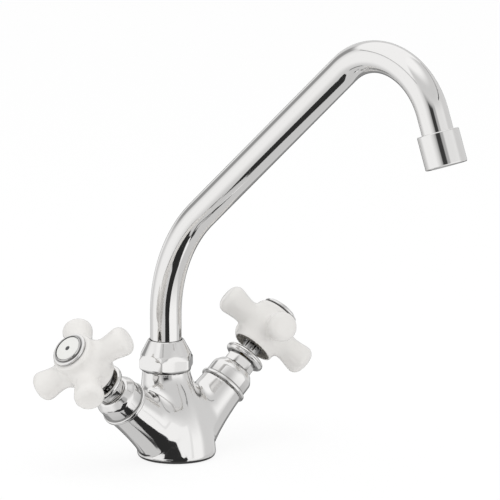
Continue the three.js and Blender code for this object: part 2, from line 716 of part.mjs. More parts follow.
function seatWasher(name) {
  const outer = guideR - 2 * RUN;
  const to = washerUnder + SEAT_WASHER;
  return mesh(name, ring(WASHER_SCREW_R + GAP, outer, washerUnder, to, COARSE), rubber);
}

function washerScrew(name) {
  const under = washerUnder - GAP;
  const tip = under + WASHER_SCREW_LENGTH;
  return mesh(name, turned([
    [0, under - WASHER_SCREW_HEAD], [WASHER_SCREW_HEAD_R, under - WASHER_SCREW_HEAD],
    [WASHER_SCREW_HEAD_R, under], [WASHER_SCREW_R, under], [WASHER_SCREW_R, tip], [0, tip],
  ], SCREW_SIDES), brass);
}

// ---- Handles ----

const hubUnder = bossTop + HUB_OFF;
const hubTop = hubUnder + HUB_HEIGHT;
const hollowTop = hubUnder + HOLLOW_DEPTH;
const socketTop = splineTop + INSERT_WEB;
const screwSeat = socketTop + GAP + PORCELAIN_WEB;

function handleArm(index) {
  const clubAt = ARM_REACH - ARM_END_DOME - ARM_END_ROUND;
  const arm = turned([
    [0, 0], [ARM_ROOT_R, 0], [ARM_ROOT_R, ARM_ROOT_AT], [ARM_NECK_R, ARM_NECK_AT],
    [ARM_WAIST_R, ARM_WAIST_AT], ...arc(ARM_CLUB_R - ARM_END_ROUND, clubAt, ARM_END_ROUND, 0, 90, 3),
    [0, ARM_REACH],
  ], ROUND);
  arm.rotateY(Math.PI / 2).translate(0, 0, (hubUnder + hubTop) / 2);
  return solid(arm.rotateZ((index * 2 * Math.PI) / HANDLE_ARMS));
}

function crossHandle(name) {
  const shoulderAt = HUB_BELLY_R - HUB_SHOULDER;
  const hub = solid(turned([
    [0, hubUnder], [HUB_FOOT_R - HUB_FOOT_EDGE, hubUnder], [HUB_FOOT_R, hubUnder + HUB_FOOT_EDGE],
    [HUB_BELLY_R, (hubUnder + hubTop) / 2], ...arc(shoulderAt, hubTop - HUB_SHOULDER, HUB_SHOULDER, 0, 90, 3),
    [0, hubTop],
  ], FINE));
  const arms = Array.from({ length: HANDLE_ARMS }, (_, i) => handleArm(i));
  const hollow = solid(hole(HOLLOW_R, hubUnder - OVER, hollowTop, FINE));
  const socket = solid(hole(INSERT_R + GAP, hubUnder, socketTop + GAP, ROUND));
  const way = solid(hole(SCREW_R + GAP, socketTop, hubTop + OVER));
  const well = solid(hole(CAP_SPIGOT_R + GAP, screwSeat, hubTop + OVER, ROUND));
  return mesh(name, cut(join(hub, ...arms), hollow, socket, way, well), porcelain);
}

function handleInsert(name) {
  const from = bossTop + GAP;
  const shoulder = hollowTop + GAP;
  const outside = solid(turned([
    [0, from], [INSERT_NECK_R, from], [INSERT_NECK_R, shoulder], [INSERT_R, shoulder],
    [INSERT_R, socketTop], [0, socketTop],
  ], ROUND));
  const eye = solid(hole(SPLINE_R + GAP, from - OVER, splineTop + GAP, ROUND));
  const way = solid(hole(SCREW_R + GAP, splineTop, socketTop + OVER));
  return mesh(name, cut(outside, eye, way), chrome);
}

function handleScrew(name) {
  const under = screwSeat + GAP;
  const top = under + SCREW_HEAD;
  const tip = splineTop - SCREW_REACH;
  const shape = solid(turned([
    [0, tip], [SCREW_R, tip], [SCREW_R, under], [SCREW_HEAD_R, under],
    [SCREW_HEAD_R, top - SCREW_HEAD_EDGE], [SCREW_HEAD_R - SCREW_HEAD_EDGE, top], [0, top],
  ], SCREW_SIDES));
  const slot = new THREE.BoxGeometry(2 * SCREW_HEAD_R + OVER, SCREW_SLOT, 2 * SCREW_SLOT);
  return mesh(name, cut(shape, solid(slot.translate(0, 0, top))), brass);
}

const capFoot = hubTop + GAP;
const capTop = capFoot + RING_HEIGHT + RING_STEP;

function indexRing(name) {
  const step = capFoot + RING_HEIGHT;
  const rim = FACE_R + RIM_WALL;
  const spigotFoot = capFoot - SPIGOT_DEPTH;
  const shape = solid(turned([
    [0, spigotFoot], [CAP_SPIGOT_R, spigotFoot], [CAP_SPIGOT_R, capFoot], [RING_R - RING_EDGE, capFoot],
    [RING_R, capFoot + RING_EDGE], [RING_R, step - RING_EDGE], [RING_R - RING_EDGE, step],
    [rim + RING_EDGE, step], [rim, capTop - RING_EDGE], [rim - RING_EDGE, capTop], [0, capTop],
  ], FINE));
  const seat = solid(hole(FACE_R, capTop - FACE_THICK - GAP, capTop + OVER, FINE));
  const hollow = solid(hole(CAP_SPIGOT_R - SPIGOT_WALL, spigotFoot - OVER, capFoot, COARSE));
  return mesh(name, cut(shape, seat, hollow), chrome);
}

function indexFace(name) {
  const r = FACE_R - GAP / 2;
  return mesh(name, turned([
    [0, capTop - FACE_THICK], [r, capTop - FACE_THICK], [r, capTop - 2 * FACE_EDGE],
    [r - FACE_EDGE, capTop - FACE_EDGE], [0, capTop - FACE_EDGE],
  ], FINE), enamel);
}

function valve(hand, side) {
  const group = valveGroup(side);
  const fixed = [headworkWasher, headwork, bonnet, glandPacking, glandNut];
  const names = ['headwork_washer', 'headwork', 'bonnet', 'gland_packing', 'gland_nut'];
  fixed.forEach((make, i) => group.add(make(`${names[i]}_${hand}`)));
  group.add(plunger(`plunger_${hand}`), seatWasher(`seat_washer_${hand}`), washerScrew(`washer_screw_${hand}`));
  const turning = new THREE.Group();
  turning.rotation.z = degrees(HANDLE_TURN[hand]);
  turning.add(
    spindle(`spindle_${hand}`),
    spindleRing(`spindle_o_ring_${hand}`),
    stemCollar(`stem_collar_${hand}`),
    handleInsert(`handle_insert_${hand}`),
    crossHandle(`cross_handle_${hand}`),
    handleScrew(`handle_screw_${hand}`),
    indexRing(`index_ring_${hand}`),
    indexFace(`index_face_${hand}`),
  );
  group.add(turning);
  return group;
}

const tap = new THREE.Group();
tap.name = 'mixer_tap';
tap.add(mixerBody(), baseSeal(), spoutNut(), slipRing(), spout(), valve('left', -1), valve('right', 1));
export default tap;
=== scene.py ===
"""A two-handle kitchen mixer tap: chromed cast body, swivelling tube spout, porcelain cross handles."""
import json
import math

import bmesh
import bpy
import numpy as np
from mathutils import Matrix, Vector


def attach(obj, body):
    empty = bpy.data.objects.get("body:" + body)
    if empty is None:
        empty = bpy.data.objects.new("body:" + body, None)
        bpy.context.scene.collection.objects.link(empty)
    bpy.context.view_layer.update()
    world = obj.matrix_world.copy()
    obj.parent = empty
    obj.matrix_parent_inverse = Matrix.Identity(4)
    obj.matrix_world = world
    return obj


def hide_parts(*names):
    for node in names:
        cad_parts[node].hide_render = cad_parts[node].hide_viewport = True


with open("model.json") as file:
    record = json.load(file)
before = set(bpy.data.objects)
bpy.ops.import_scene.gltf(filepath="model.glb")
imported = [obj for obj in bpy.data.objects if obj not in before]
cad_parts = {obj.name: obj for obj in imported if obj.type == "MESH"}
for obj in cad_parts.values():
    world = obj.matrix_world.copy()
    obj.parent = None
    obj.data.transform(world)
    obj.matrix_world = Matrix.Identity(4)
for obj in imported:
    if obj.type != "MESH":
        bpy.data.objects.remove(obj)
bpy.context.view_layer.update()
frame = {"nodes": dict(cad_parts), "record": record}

bl_info = {
    "name": "Kitchen mixer tap",
    "version": (1, 0, 0),
    "blender": (4, 5, 0),
    "location": "View3D > Sidebar > Tap",
    "description": "Makes the visible pieces of a two-handle mixer tap round its packed frame",
    "category": "Object",
}

MM = 0.001
SIDES = {"left": -1, "right": 1}
MIX_SHARE, MIX_FIRST, MIX_SECOND, MIXED = 0, 6, 7, 2  # sockets of a Mix node that mixes colours


# ---- Sizes and colours ----

def length(name, description, mm):
    """A length in millimetres, kept in metres."""
    return bpy.props.FloatProperty(name=name, description=description, default=mm * MM, min=0, unit="LENGTH",
                                   precision=5)


def angle(name, description, degrees):
    return bpy.props.FloatProperty(name=name, description=description, default=math.radians(degrees),
                                   unit="ROTATION", subtype="ANGLE")


def linear(code):
    """Turns a hex sRGB colour into linear red, green, blue and alpha."""
    parts = [int(code[i:i + 2], 16) / 255 for i in (1, 3, 5)]
    return [p / 12.92 if p <= 0.04045 else ((p + 0.055) / 1.055) ** 2.4 for p in parts] + [1.0]


def colour(name, description, code):
    return bpy.props.FloatVectorProperty(name=name, description=description, default=linear(code), size=4,
                                         min=0, max=1, subtype="COLOR")


class TapCasting(bpy.types.PropertyGroup):
    foot_radius: length("Foot radius", "Round foot on the deck", 24.9)
    arm_radius: length("Arm radius", "Where a valve arm ends", 14.4)
    neck_radius: length("Neck radius", "Where the spout neck ends", 15.2)
    neck_back: length("Neck set back", "Neck's axis behind the foot's centre", 10)
    neck_top: length("Neck height", "Top of the neck above the deck", 54.6)
    fillet: length("Fillet", "Blend where the limbs part, high on the casting", 7.5)
    foot_round: length("Foot rounding", "Blend of the foot's side into its underside", 4.2)
    cell: length("Skin cell", "Size of the casting's faces", 0.8)


class TapSpout(bpy.types.PropertyGroup):
    radius: length("Tube radius", "Outside of the drawn tube", 9.95)
    wall: length("Tube wall", "Thickness of the tube", 1.1)
    turn: angle("Spout turn", "From straight forward, as the spout stands", 8.1)
    foot: length("Tube foot", "Height of the tube's lower end", 65.7)
    rise: length("Rise", "Height where the tube starts to bend", 90.0)
    low_bend: length("Lower bend", "Radius of the lower bend's centre line", 93.4)
    slope: angle("Slope", "Straight run above level", 41.85)
    run: length("Run", "Length of the straight run", 162.2)
    top_bend: length("Upper bend", "Radius of the upper bend's centre line", 44.6)
    end_tilt: angle("End tilt", "Outlet from straight down", 20)
    end: length("Straight end", "Down to the aerator case", 12.3)
    case_radius: length("Case radius", "Round case of the aerator", 13.15)
    case_length: length("Case length", "Height of the aerator's case", 21.2)
    jet_radius: length("Jet radius", "Holes of the aerator's insert", 0.9)


class TapValve(bpy.types.PropertyGroup):
    back: length("Axis set back", "Where both axes start, behind the foot's centre", 4.4)
    height: length("Axis height", "Where both axes start, above the deck", 2.8)
    tilt: angle("Tilt", "Of a valve axis, out from vertical", 47.3)
    lean: angle("Lean", "Of a valve axis, forward", 2.2)
    arm_face: length("Arm end", "Along the axis", 53.3)
    bonnet_radius: length("Bonnet radius", "Bell-shaped cover", 14.2)
    bonnet_foot: length("Bonnet foot", "Along the axis", 53.6)
    bonnet_top: length("Bonnet top", "Along the axis", 69.3)
    lip_radius: length("Lip radius", "Round lip at the bonnet's foot", 15.8)
    gland_top: length("Gland nut top", "Along the axis", 75.8)
    collar_radius: length("Stem collar radius", "Thick disc above the gland nut", 13.3)
    collar_top: length("Stem collar top", "Along the axis", 80.3)
    boss_radius: length("Boss radius", "Handle's metal boss above the stem collar", 5.8)


class TapHandle(bpy.types.PropertyGroup):
    left_turn: angle("Left turn", "How the left handle stands", 48)
    right_turn: angle("Right turn", "How the right handle stands", 66.6)
    hub_under: length("Hub underside", "Along the valve's axis", 86.2)
    hub_top: length("Hub top", "Along the valve's axis", 115.6)
    hub_radius: length("Hub radius", "At the hub's middle", 14.1)
    reach: length("Arm reach", "From the axis to an arm's end", 34.5)
    waist: length("Arm waist radius", "Narrowest place of an arm", 8.1)
    club: length("Arm end radius", "Widest place of an arm", 9.6)
    fillet: length("Fillet", "Blend between hub and arms", 3.5)
    ring_radius: length("Index ring radius", "Chrome ring of the index cap", 11.7)
    face_radius: length("Index face radius", "White face of the index cap", 8.45)
    cell: length("Skin cell", "Size of the porcelain's faces", 0.7)


class TapFinish(bpy.types.PropertyGroup):
    chrome: colour("Chrome", "Chrome plate", "#E5E4E3")
    # Dark colour of dirt and painted shade, mixed into the chrome in the corners where pieces meet.
    grime_and_shade: colour("Grime and painted shade", "Where chrome pieces meet", "#1E1D1C")
    porcelain: colour("Porcelain", "White glaze", "#E4E2DF")
    warm_porcelain: colour("Warm porcelain", "Where the glaze drifts warmer", "#EAE8E5")
    # Painted shade: the unglazed hollow's three colours are darkened for the shade under the handle.
    shaded_biscuit: colour("Unglazed porcelain", "Rough hollow under the handle", "#716C64")
    dark_speckle: colour("Dark speckle", "Pits of the unglazed porcelain", "#2B2926")
    pale_speckle: colour("Pale speckle", "Grain of the unglazed porcelain", "#B2AEA6")
    enamel: colour("Enamel", "Index faces", "#E6E6E3")
    ink: colour("Ink", "Dot on the index faces", "#3A3B3D")
    brass: colour("Brass", "Turned brass", "#C9A765")
    rubber: colour("Rubber", "Seals", "#1D1D1E")
    nylon: colour("Acetal", "Aerator insert and slip ring", "#D9D7CE")
    fibre: colour("Pressed fibre", "Washers under the valve heads", "#8E3A2C")
    floor: colour("Floor", "Floor and backdrop", "#FFFFFF")


def in_mm(group, *names):
    """Lengths of one of the scene's groups, in millimetres."""
    return [getattr(getattr(bpy.context.scene, group), name) / MM for name in names]


# ---- Meshes ----

def piece_from(name, mesh, material, body, node):
    """Links a finished mesh, gives it its material, puts it on its body and hides the node that it stands for.
    """
    mesh.shade_smooth()
    mesh.name = name
    mesh.materials.clear()
    mesh.materials.append(material)
    piece = linked(name, mesh)
    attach(piece, body)
    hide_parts(node)


def linked(name, data):
    """A new object in the scene."""
    thing = bpy.data.objects.new(name, data)
    bpy.context.scene.collection.objects.link(thing)
    return thing


def sharpened(mesh, degrees=40):
    """Keeps the edges that turn by more than this sharp."""
    mesh.set_sharp_from_angle(angle=math.radians(degrees))


def rounded(corners, hold=0.35):
    """Rounds the corners (radius, height, rounding) of an outline, with extra points that hold the flats
    beside them flat."""
    points = []
    last = len(corners) - 1
    for i, (r, z, size) in enumerate(corners):
        here = Vector((r, z))
        if not size or i in (0, last):
            points.append(here)
            continue
        before = Vector(corners[i - 1][:2]) - here
        after = Vector(corners[i + 1][:2]) - here
        half = before.angle(after) / 2
        turn = math.pi - 2 * half
        back = min(size / math.tan(half), 0.48 * before.length, 0.48 * after.length)
        size = back * math.tan(half)
        before_way, after_way = before.normalized(), after.normalized()
        middle = here + (before_way + after_way).normalized() * size / math.sin(half)
        first, end = here + before_way * back, here + after_way * back
        steps = max(3, int(math.degrees(turn) / 12))
        points.append(first + before_way * min(hold * back, before.length * 0.1))
        a, b = first - middle, end - middle
        for k in range(steps + 1):
            t = k / steps
            points.append(middle + (a * math.sin((1 - t) * turn) + b * math.sin(t * turn)) / math.sin(turn))
        points.append(end + after_way * min(hold * back, after.length * 0.1))
    return [(p.x, p.y) for p in points]


def turned(outline, place, sides=96, flats=None, crevices=()):
    """Turns an outline of (radius, height) in millimetres about Z and puts it in place, in metres.
    Flats is (count, distance from the axis, rounding): it planes flats on whatever stands past them.
    Crevices are (radius, height, width) of corners where dirt gathers and shade is painted, kept in an
    attribute."""
    made = bmesh.new()
    rows = []
    for r, z in outline:
        if r < 1e-6:
            rows.append([made.verts.new((0, 0, z * MM))])
            continue
        row = []
        for k in range(sides):
            a = 2 * math.pi * k / sides
            out = r
            if flats and r > 0.75 * flats[1]:
                step = 2 * math.pi / flats[0]
                off = (a + step / 2) % step - step / 2
                plane = flats[1] / math.cos(off)
                gap = max(flats[2] - abs(plane - r), 0) / flats[2]
                out = min(plane, r) - gap * gap * flats[2] / 4
            row.append(made.verts.new((out * math.cos(a) * MM, out * math.sin(a) * MM, z * MM)))
        rows.append(row)
    closed = outline[0][0] > 1e-6
    for i in range(len(rows) if closed else len(rows) - 1):
        a, b = rows[i], rows[(i + 1) % len(rows)]
        for k in range(sides):
            n = (k + 1) % sides
            corners = [a[k % len(a)], a[n % len(a)], b[n % len(b)], b[k % len(b)]]
            corners = [c for j, c in enumerate(corners) if c not in corners[:j]]
            if len(corners) > 2:
                made.faces.new(corners)
    bmesh.ops.recalc_face_normals(made, faces=made.faces)
    mesh = bpy.data.meshes.new("turned")
    made.to_mesh(mesh)
    made.free()
    # Painted shade with dirt: how near each point lies to a crevice, for the chrome to darken there.
    if crevices:
        near = np.zeros(len(mesh.vertices))
        for i, vertex in enumerate(mesh.vertices):
            r, z = vertex.co.xy.length / MM, vertex.co.z / MM
            near[i] = max(max(0, 1 - math.hypot(r - at, z - high) / width) for at, high, width in crevices)
        mesh.attributes.new("crevice", "FLOAT", "POINT").data.foreach_set("value", near)
    mesh.transform(place)
    return mesh


def skin(field, low, high, cell, rounds=3):
    """Closed mesh on the surface where field(points) is zero and negative inside. Lengths in millimetres."""
    axes = [np.arange(a - 2 * cell, b + 3 * cell, cell) for a, b in zip(low, high)]
    grid = np.stack(np.meshgrid(*axes, indexing="ij"), -1)
    shape = grid.shape[:3]
    inside = (field(grid.reshape(-1, 3)) < 0).reshape(shape)
    count = sum(inside[i:shape[0] - 1 + i, j:shape[1] - 1 + j, k:shape[2] - 1 + k].astype(int)
                for i in (0, 1) for j in (0, 1) for k in (0, 1))
    mixed = (count > 0) & (count < 8)
    number = np.full(mixed.shape, -1)
    number[mixed] = np.arange(mixed.sum())
    points = grid[:-1, :-1, :-1][mixed] + cell / 2
    quads = []
    for axis in range(3):
        turned_in = np.moveaxis(inside, axis, 0)
        turned_number = np.moveaxis(number, axis, 0)
        here, there = turned_in[:-1, 1:-1, 1:-1], turned_in[1:, 1:-1, 1:-1]
        crossing = here != there
        around = [turned_number[:, :-1, :-1], turned_number[:, 1:, :-1],
                  turned_number[:, 1:, 1:], turned_number[:, :-1, 1:]]
        faces = np.stack([c[crossing] for c in around], 1)
        flip = here[crossing] if axis != 1 else ~here[crossing]
        faces[~flip] = faces[~flip][:, ::-1]
        quads.append(faces)
    quads = np.concatenate(quads)
    edges = np.concatenate([quads[:, [0, 1]], quads[:, [1, 2]], quads[:, [2, 3]], quads[:, [3, 0]]])
    for step in range(rounds + 1):
        for _ in range(4 if step == 0 else 2):
            value = field(points)
            slope = np.stack([(field(points + shift) - field(points - shift)) / 0.02
                              for shift in np.eye(3) * 0.01], 1)
            move = value[:, None] * slope / np.maximum((slope ** 2).sum(1), 0.1)[:, None]
            points = points - np.clip(move, -cell, cell)
        if step < rounds:
            total = np.zeros_like(points)
            near = np.zeros(len(points))
            for a, b in ((0, 1), (1, 0)):
                np.add.at(total, edges[:, a], points[edges[:, b]])
                np.add.at(near, edges[:, a], 1)
            points = points * 0.4 + 0.6 * total / near[:, None]
    mesh = bpy.data.meshes.new("skin")
    mesh.from_pydata((points * MM).tolist(), [], quads.tolist())
    return mesh


def soft_min(a, b, k):
    gap = np.maximum(k - np.abs(a - b), 0) / k
    return np.minimum(a, b) - gap * gap * k / 4


def soft_max(a, b, k):
    return -soft_min(-a, -b, k)


def cut_away(mesh, cutters):
    """Takes cutters, closed meshes in place, out of a mesh. Returns the new mesh."""
    body = linked("cut", mesh)
    helpers = [linked("cutter", cutter) for cutter in cutters]
    for helper in helpers:
        knife = body.modifiers.new("cut", "BOOLEAN")
        knife.object = helper
        knife.operation = "DIFFERENCE"
        knife.solver = "EXACT"
    result = applied(body)
    for helper in helpers:
        bpy.data.objects.remove(helper)
    return result


def applied(thing):
    """The mesh of an object with its modifiers, after which the object is gone."""
    bpy.context.view_layer.update()
    graph = bpy.context.evaluated_depsgraph_get()
    mesh = bpy.data.meshes.new_from_object(thing.evaluated_get(graph), depsgraph=graph)
    bpy.data.objects.remove(thing)
    return mesh


def valve_place(side, turn=0.0):
    """From a valve's own frame, its axis along Z, to the tap's frame."""
    sizes = bpy.context.scene.tap_valve
    return (Matrix.Translation((0, sizes.back, sizes.height))
            @ Matrix.Rotation(SIDES[side] * sizes.tilt, 4, "Y") @ Matrix.Rotation(sizes.lean, 4, "X")
            @ Matrix.Rotation(turn, 4, "Z"))


def handle_place(side):
    return valve_place(side, getattr(bpy.context.scene.tap_handle, side + "_turn"))


def neck_place(turn=0.0):
    return Matrix.Translation((0, bpy.context.scene.tap_casting.neck_back, 0)) @ Matrix.Rotation(turn, 4, "Z")


def bored(radius, low, high, place, sides=48):
    """A plain round cutter, from one height to another in its own frame."""
    return turned([(0, low), (radius, low), (radius, high), (0, high)], place, sides)


# ---- Materials ----

def add(tree, kind, links=None, **settings):
    """Adds a node with its settings, and its inputs as values or as what to link."""
    made = tree.nodes.new(kind)
    for name, value in settings.items():
        setattr(made, name, value)
    feed(tree, made, links or {})
    return made


def feed(tree, node, links):
    """Gives a node's inputs their values, or links them to a socket, or to a node's first output."""
    for socket, value in links.items():
        if isinstance(value, bpy.types.Node):
            value = value.outputs[0]
        if isinstance(value, bpy.types.NodeSocket):
            tree.links.new(value, node.inputs[socket])
        else:
            node.inputs[socket].default_value = value


def start(name, **settings):
    """A new material's tree, its shader with what is the same all over it, and its object coordinates."""
    material = bpy.data.materials.new(name)
    material.use_nodes = True
    tree = material.node_tree
    shader = tree.nodes["Principled BSDF"]
    feed(tree, shader, {socket.replace("_", " "): value for socket, value in settings.items()})
    return tree, shader, add(tree, "ShaderNodeTexCoord").outputs["Object"]


def per_mm(mm):
    """Scale of a texture on coordinates in metres, for a pattern of that size in millimetres."""
    return 1 / (mm * MM)


def chrome_plate(name, wave_mm, wave_depth_mm, haze):
    """Bright nickel-chrome plate on polished brass. It mirrors, with the long soft waves that the
    polishing mops leave, a thin film of wiped-off water that dulls it in patches, and a dark line of
    dirt and painted shade where a piece meets the next."""
    finish = bpy.context.scene.tap_finish
    film_mm, film_haze = 9, 0.035
    tree, shader, place = start(name, Metallic=1.0)
    # Painted shade with dirt: the base colour turns dark towards the crevices.
    crevice = add(tree, "ShaderNodeAttribute", attribute_name="crevice")
    tint = add(tree, "ShaderNodeMix", {MIX_SHARE: crevice.outputs["Fac"], MIX_FIRST: finish.chrome,
                                       MIX_SECOND: finish.grime_and_shade}, data_type="RGBA")
    film = add(tree, "ShaderNodeTexNoise", {"Vector": place, "Scale": per_mm(film_mm), "Detail": 4.0,
                                            "Roughness": 0.6})
    rough = add(tree, "ShaderNodeMapRange", {"Value": film, "From Min": 0.35, "From Max": 0.7,
                                             "To Min": haze, "To Max": haze + film_haze})
    wave = add(tree, "ShaderNodeTexNoise", {"Vector": place, "Scale": per_mm(wave_mm), "Detail": 1.0})
    ripple = add(tree, "ShaderNodeBump", {"Height": wave, "Distance": wave_depth_mm * MM})
    feed(tree, shader, {"Base Color": tint.outputs[MIXED], "Roughness": rough,
                        "Normal": ripple})


def glazed_porcelain():
    """White vitreous glaze over a slip-cast body: clear, wet-looking, with a faint orange-peel and
    the odd pinhole, and a body whose white drifts a little."""
    finish = bpy.context.scene.tap_finish
    drift_mm, peel_mm, pinhole_mm = 22, 4, 11
    tree, shader, place = start("glazed porcelain", IOR=1.5, Roughness=0.16)
    drift = add(tree, "ShaderNodeTexNoise", {"Vector": place, "Scale": per_mm(drift_mm), "Detail": 2.0})
    white = add(tree, "ShaderNodeMix", {MIX_SHARE: drift, MIX_FIRST: finish.porcelain,
                                        MIX_SECOND: finish.warm_porcelain}, data_type="RGBA")
    peel = add(tree, "ShaderNodeTexNoise", {"Vector": place, "Scale": per_mm(peel_mm), "Detail": 1.0})
    soft = add(tree, "ShaderNodeBump", {"Height": peel, "Distance": 0.02 * MM})
    pits = add(tree, "ShaderNodeTexVoronoi", {"Vector": place, "Scale": per_mm(pinhole_mm)})
    pit = add(tree, "ShaderNodeMapRange", {"Value": pits, "From Min": 0.0, "From Max": 0.03})
    fine = add(tree, "ShaderNodeBump", {"Height": pit, "Distance": 0.05 * MM,
                                        "Normal": soft})
    feed(tree, shader, {"Base Color": white.outputs[MIXED], "Normal": fine})


def unglazed_porcelain():
    """The bare body under the handle, wiped free of glaze before firing: rough and speckled, and darkened to
    grey-brown by painted shade.
    """
    finish = bpy.context.scene.tap_finish
    speckle_mm = 1.6
    tree, shader, place = start("unglazed porcelain", IOR=1.5, Roughness=0.9)
    grain = add(tree, "ShaderNodeTexNoise", {"Vector": place, "Scale": per_mm(speckle_mm), "Detail": 5.0,
                                             "Roughness": 0.75})
    # Painted shade: the speckled ramp runs darker than the bare body, for the shade under the handle.
    tone = add(tree, "ShaderNodeValToRGB", {"Fac": grain})
    ramp = tone.color_ramp.elements
    ramp[0].position, ramp[0].color = 0.36, finish.dark_speckle
    ramp[1].position, ramp[1].color = 0.66, finish.pale_speckle
    ramp.new(0.5).color = finish.shaded_biscuit
    pitted = add(tree, "ShaderNodeBump", {"Height": grain, "Distance": 0.4 * MM})
    feed(tree, shader, {"Base Color": tone, "Normal": pitted})


def plain_finish(name, code, roughness, grain_mm, depth_mm, metallic=0.0):
    """Hidden or half-hidden pieces: their own colour, mottled, with the grain of how they were made."""
    mottle = 0.82
    tree, shader, place = start(name, Metallic=metallic, Roughness=roughness)
    grain = add(tree, "ShaderNodeTexNoise", {"Vector": place, "Scale": per_mm(grain_mm), "Detail": 3.0})
    tone = add(tree, "ShaderNodeValToRGB", {"Fac": grain})
    ramp = tone.color_ramp.elements
    ramp[0].position, ramp[0].color = 0.3, [c * mottle for c in code[:3]] + [1]
    ramp[1].position, ramp[1].color = 0.7, code
    rough = add(tree, "ShaderNodeBump", {"Height": grain, "Distance": depth_mm * MM})
    feed(tree, shader, {"Base Color": tone, "Normal": rough})


def index_enamel():
    """Stoved white enamel on the index face, gently rippled, with a plain dark dot printed at its centre."""
    finish = bpy.context.scene.tap_finish
    dot_mm, dot_edge_mm, peel_mm = 1.5, 0.15, 2.5
    tree, shader, place = start("stoved enamel", IOR=1.5, Roughness=0.18)
    out = add(tree, "ShaderNodeAttribute", attribute_name="from_axis")
    dot = add(tree, "ShaderNodeMapRange", {"Value": out.outputs["Fac"], "From Min": dot_mm * MM,
                                           "From Max": (dot_mm + dot_edge_mm) * MM})
    both = add(tree, "ShaderNodeMix", {MIX_SHARE: dot, MIX_FIRST: finish.ink,
                                       MIX_SECOND: finish.enamel}, data_type="RGBA")
    peel = add(tree, "ShaderNodeTexNoise", {"Vector": place, "Scale": per_mm(peel_mm), "Detail": 1.0})
    ripple = add(tree, "ShaderNodeBump", {"Height": peel, "Distance": 0.02 * MM})
    feed(tree, shader, {"Base Color": both.outputs[MIXED], "Normal": ripple})


def materials():
    """Every finish of the tap, made once."""
    made = bpy.data.materials
    finish = bpy.context.scene.tap_finish
    if "glazed porcelain" in made:
        return made
    chrome_plate("chrome plated casting", 26, 0.3, 0.07)
    chrome_plate("chrome plated tube", 40, 0.06, 0.04)
    chrome_plate("chrome plated turning", 14, 0.03, 0.05)
    glazed_porcelain()
    unglazed_porcelain()
    index_enamel()
    plain_finish("machined brass", finish.brass, 0.3, 0.8, 0.02, 1.0)
    plain_finish("moulded rubber", finish.rubber, 0.75, 1.2, 0.03)
    plain_finish("moulded acetal", finish.nylon, 0.42, 2.0, 0.02)
    plain_finish("pressed fibre", finish.fibre, 0.85, 0.6, 0.08)
    return made


# ---- Stage ----

class TAP_OT_stage(bpy.types.Operator):
    """Floor, light, the studio that the chrome mirrors, and the camera"""

    bl_idname = "tap.stage"
    bl_label = "Stage"

    def execute(self, context):
        make_camera()
        make_world()
        make_shell()
        make_cards()
        make_floor()
        return {"FINISHED"}


def make_camera():
    """A long lens, nearly five metres off, to the front left of the tap and a little above it. The focal
    length and the width are in pixels of a picture."""
    swing, rise, roll = math.radians(39.425), math.radians(12.323), math.radians(-0.187)
    distance, focal, width = 4.9203, 7803.2, 500
    back = Vector((-math.sin(swing) * math.cos(rise), -math.cos(swing) * math.cos(rise), math.sin(rise)))
    right = Vector((math.cos(swing), -math.sin(swing), 0))
    up = back.cross(right)
    target = right * 0.047037 + up * 0.003437 + Vector((0, 0, 0.130))
    across = right * math.cos(roll) + up * math.sin(roll)
    upward = up * math.cos(roll) - right * math.sin(roll)
    place = target + back * distance
    lens = bpy.data.cameras.new("camera")
    lens.sensor_width = 36
    lens.lens = focal / width * lens.sensor_width
    lens.clip_end = 50
    camera = linked("camera", lens)
    camera.matrix_world = Matrix([[across[i], upward[i], back[i], place[i]] for i in range(3)] + [[0, 0, 0, 1]])
    bpy.context.scene.camera = camera


# The studio as the chrome mirrors it: soft panels on a wide shell round the tap. Each has its middle's
# azimuth (0 to the front, 90 to the right) and elevation, its half width and half height, how far its
# edges fade, all in degrees, and its light, where 1 is white paper. A later panel covers an earlier one.
STUDIO_LIGHT = 0.74
PANELS = (
    ("overhead softbox", 0, 90, 180, 30, 24, 1.13),
    ("softbox behind", -165, 64, 90, 30, 8, 1.10),
    ("left window", -112, 2, 38, 34, 30, 1.07),
    ("right reflector", 10, -5, 44, 28, 36, 1.12),
    ("right wall", 80, -5, 30, 30, 20, 0.77),
    ("room behind, low", 136, -36, 35, 21, 10, 0.3),
    ("paper behind", 165, 0, 22, 10, 8, 0.95),
    ("left of the room behind", -172, 18, 14, 14, 8, 0.35),
    ("left of the room behind, low", -172, -45, 10, 10, 8, 0.22),
    ("dark gap behind", 141, -12, 18, 14, 10, 0.06),
    ("round the photographer", -38, 17, 24, 12, 10, 0.5),
    ("photographer", -42, 17, 12, 7, 5, 0.05),
)


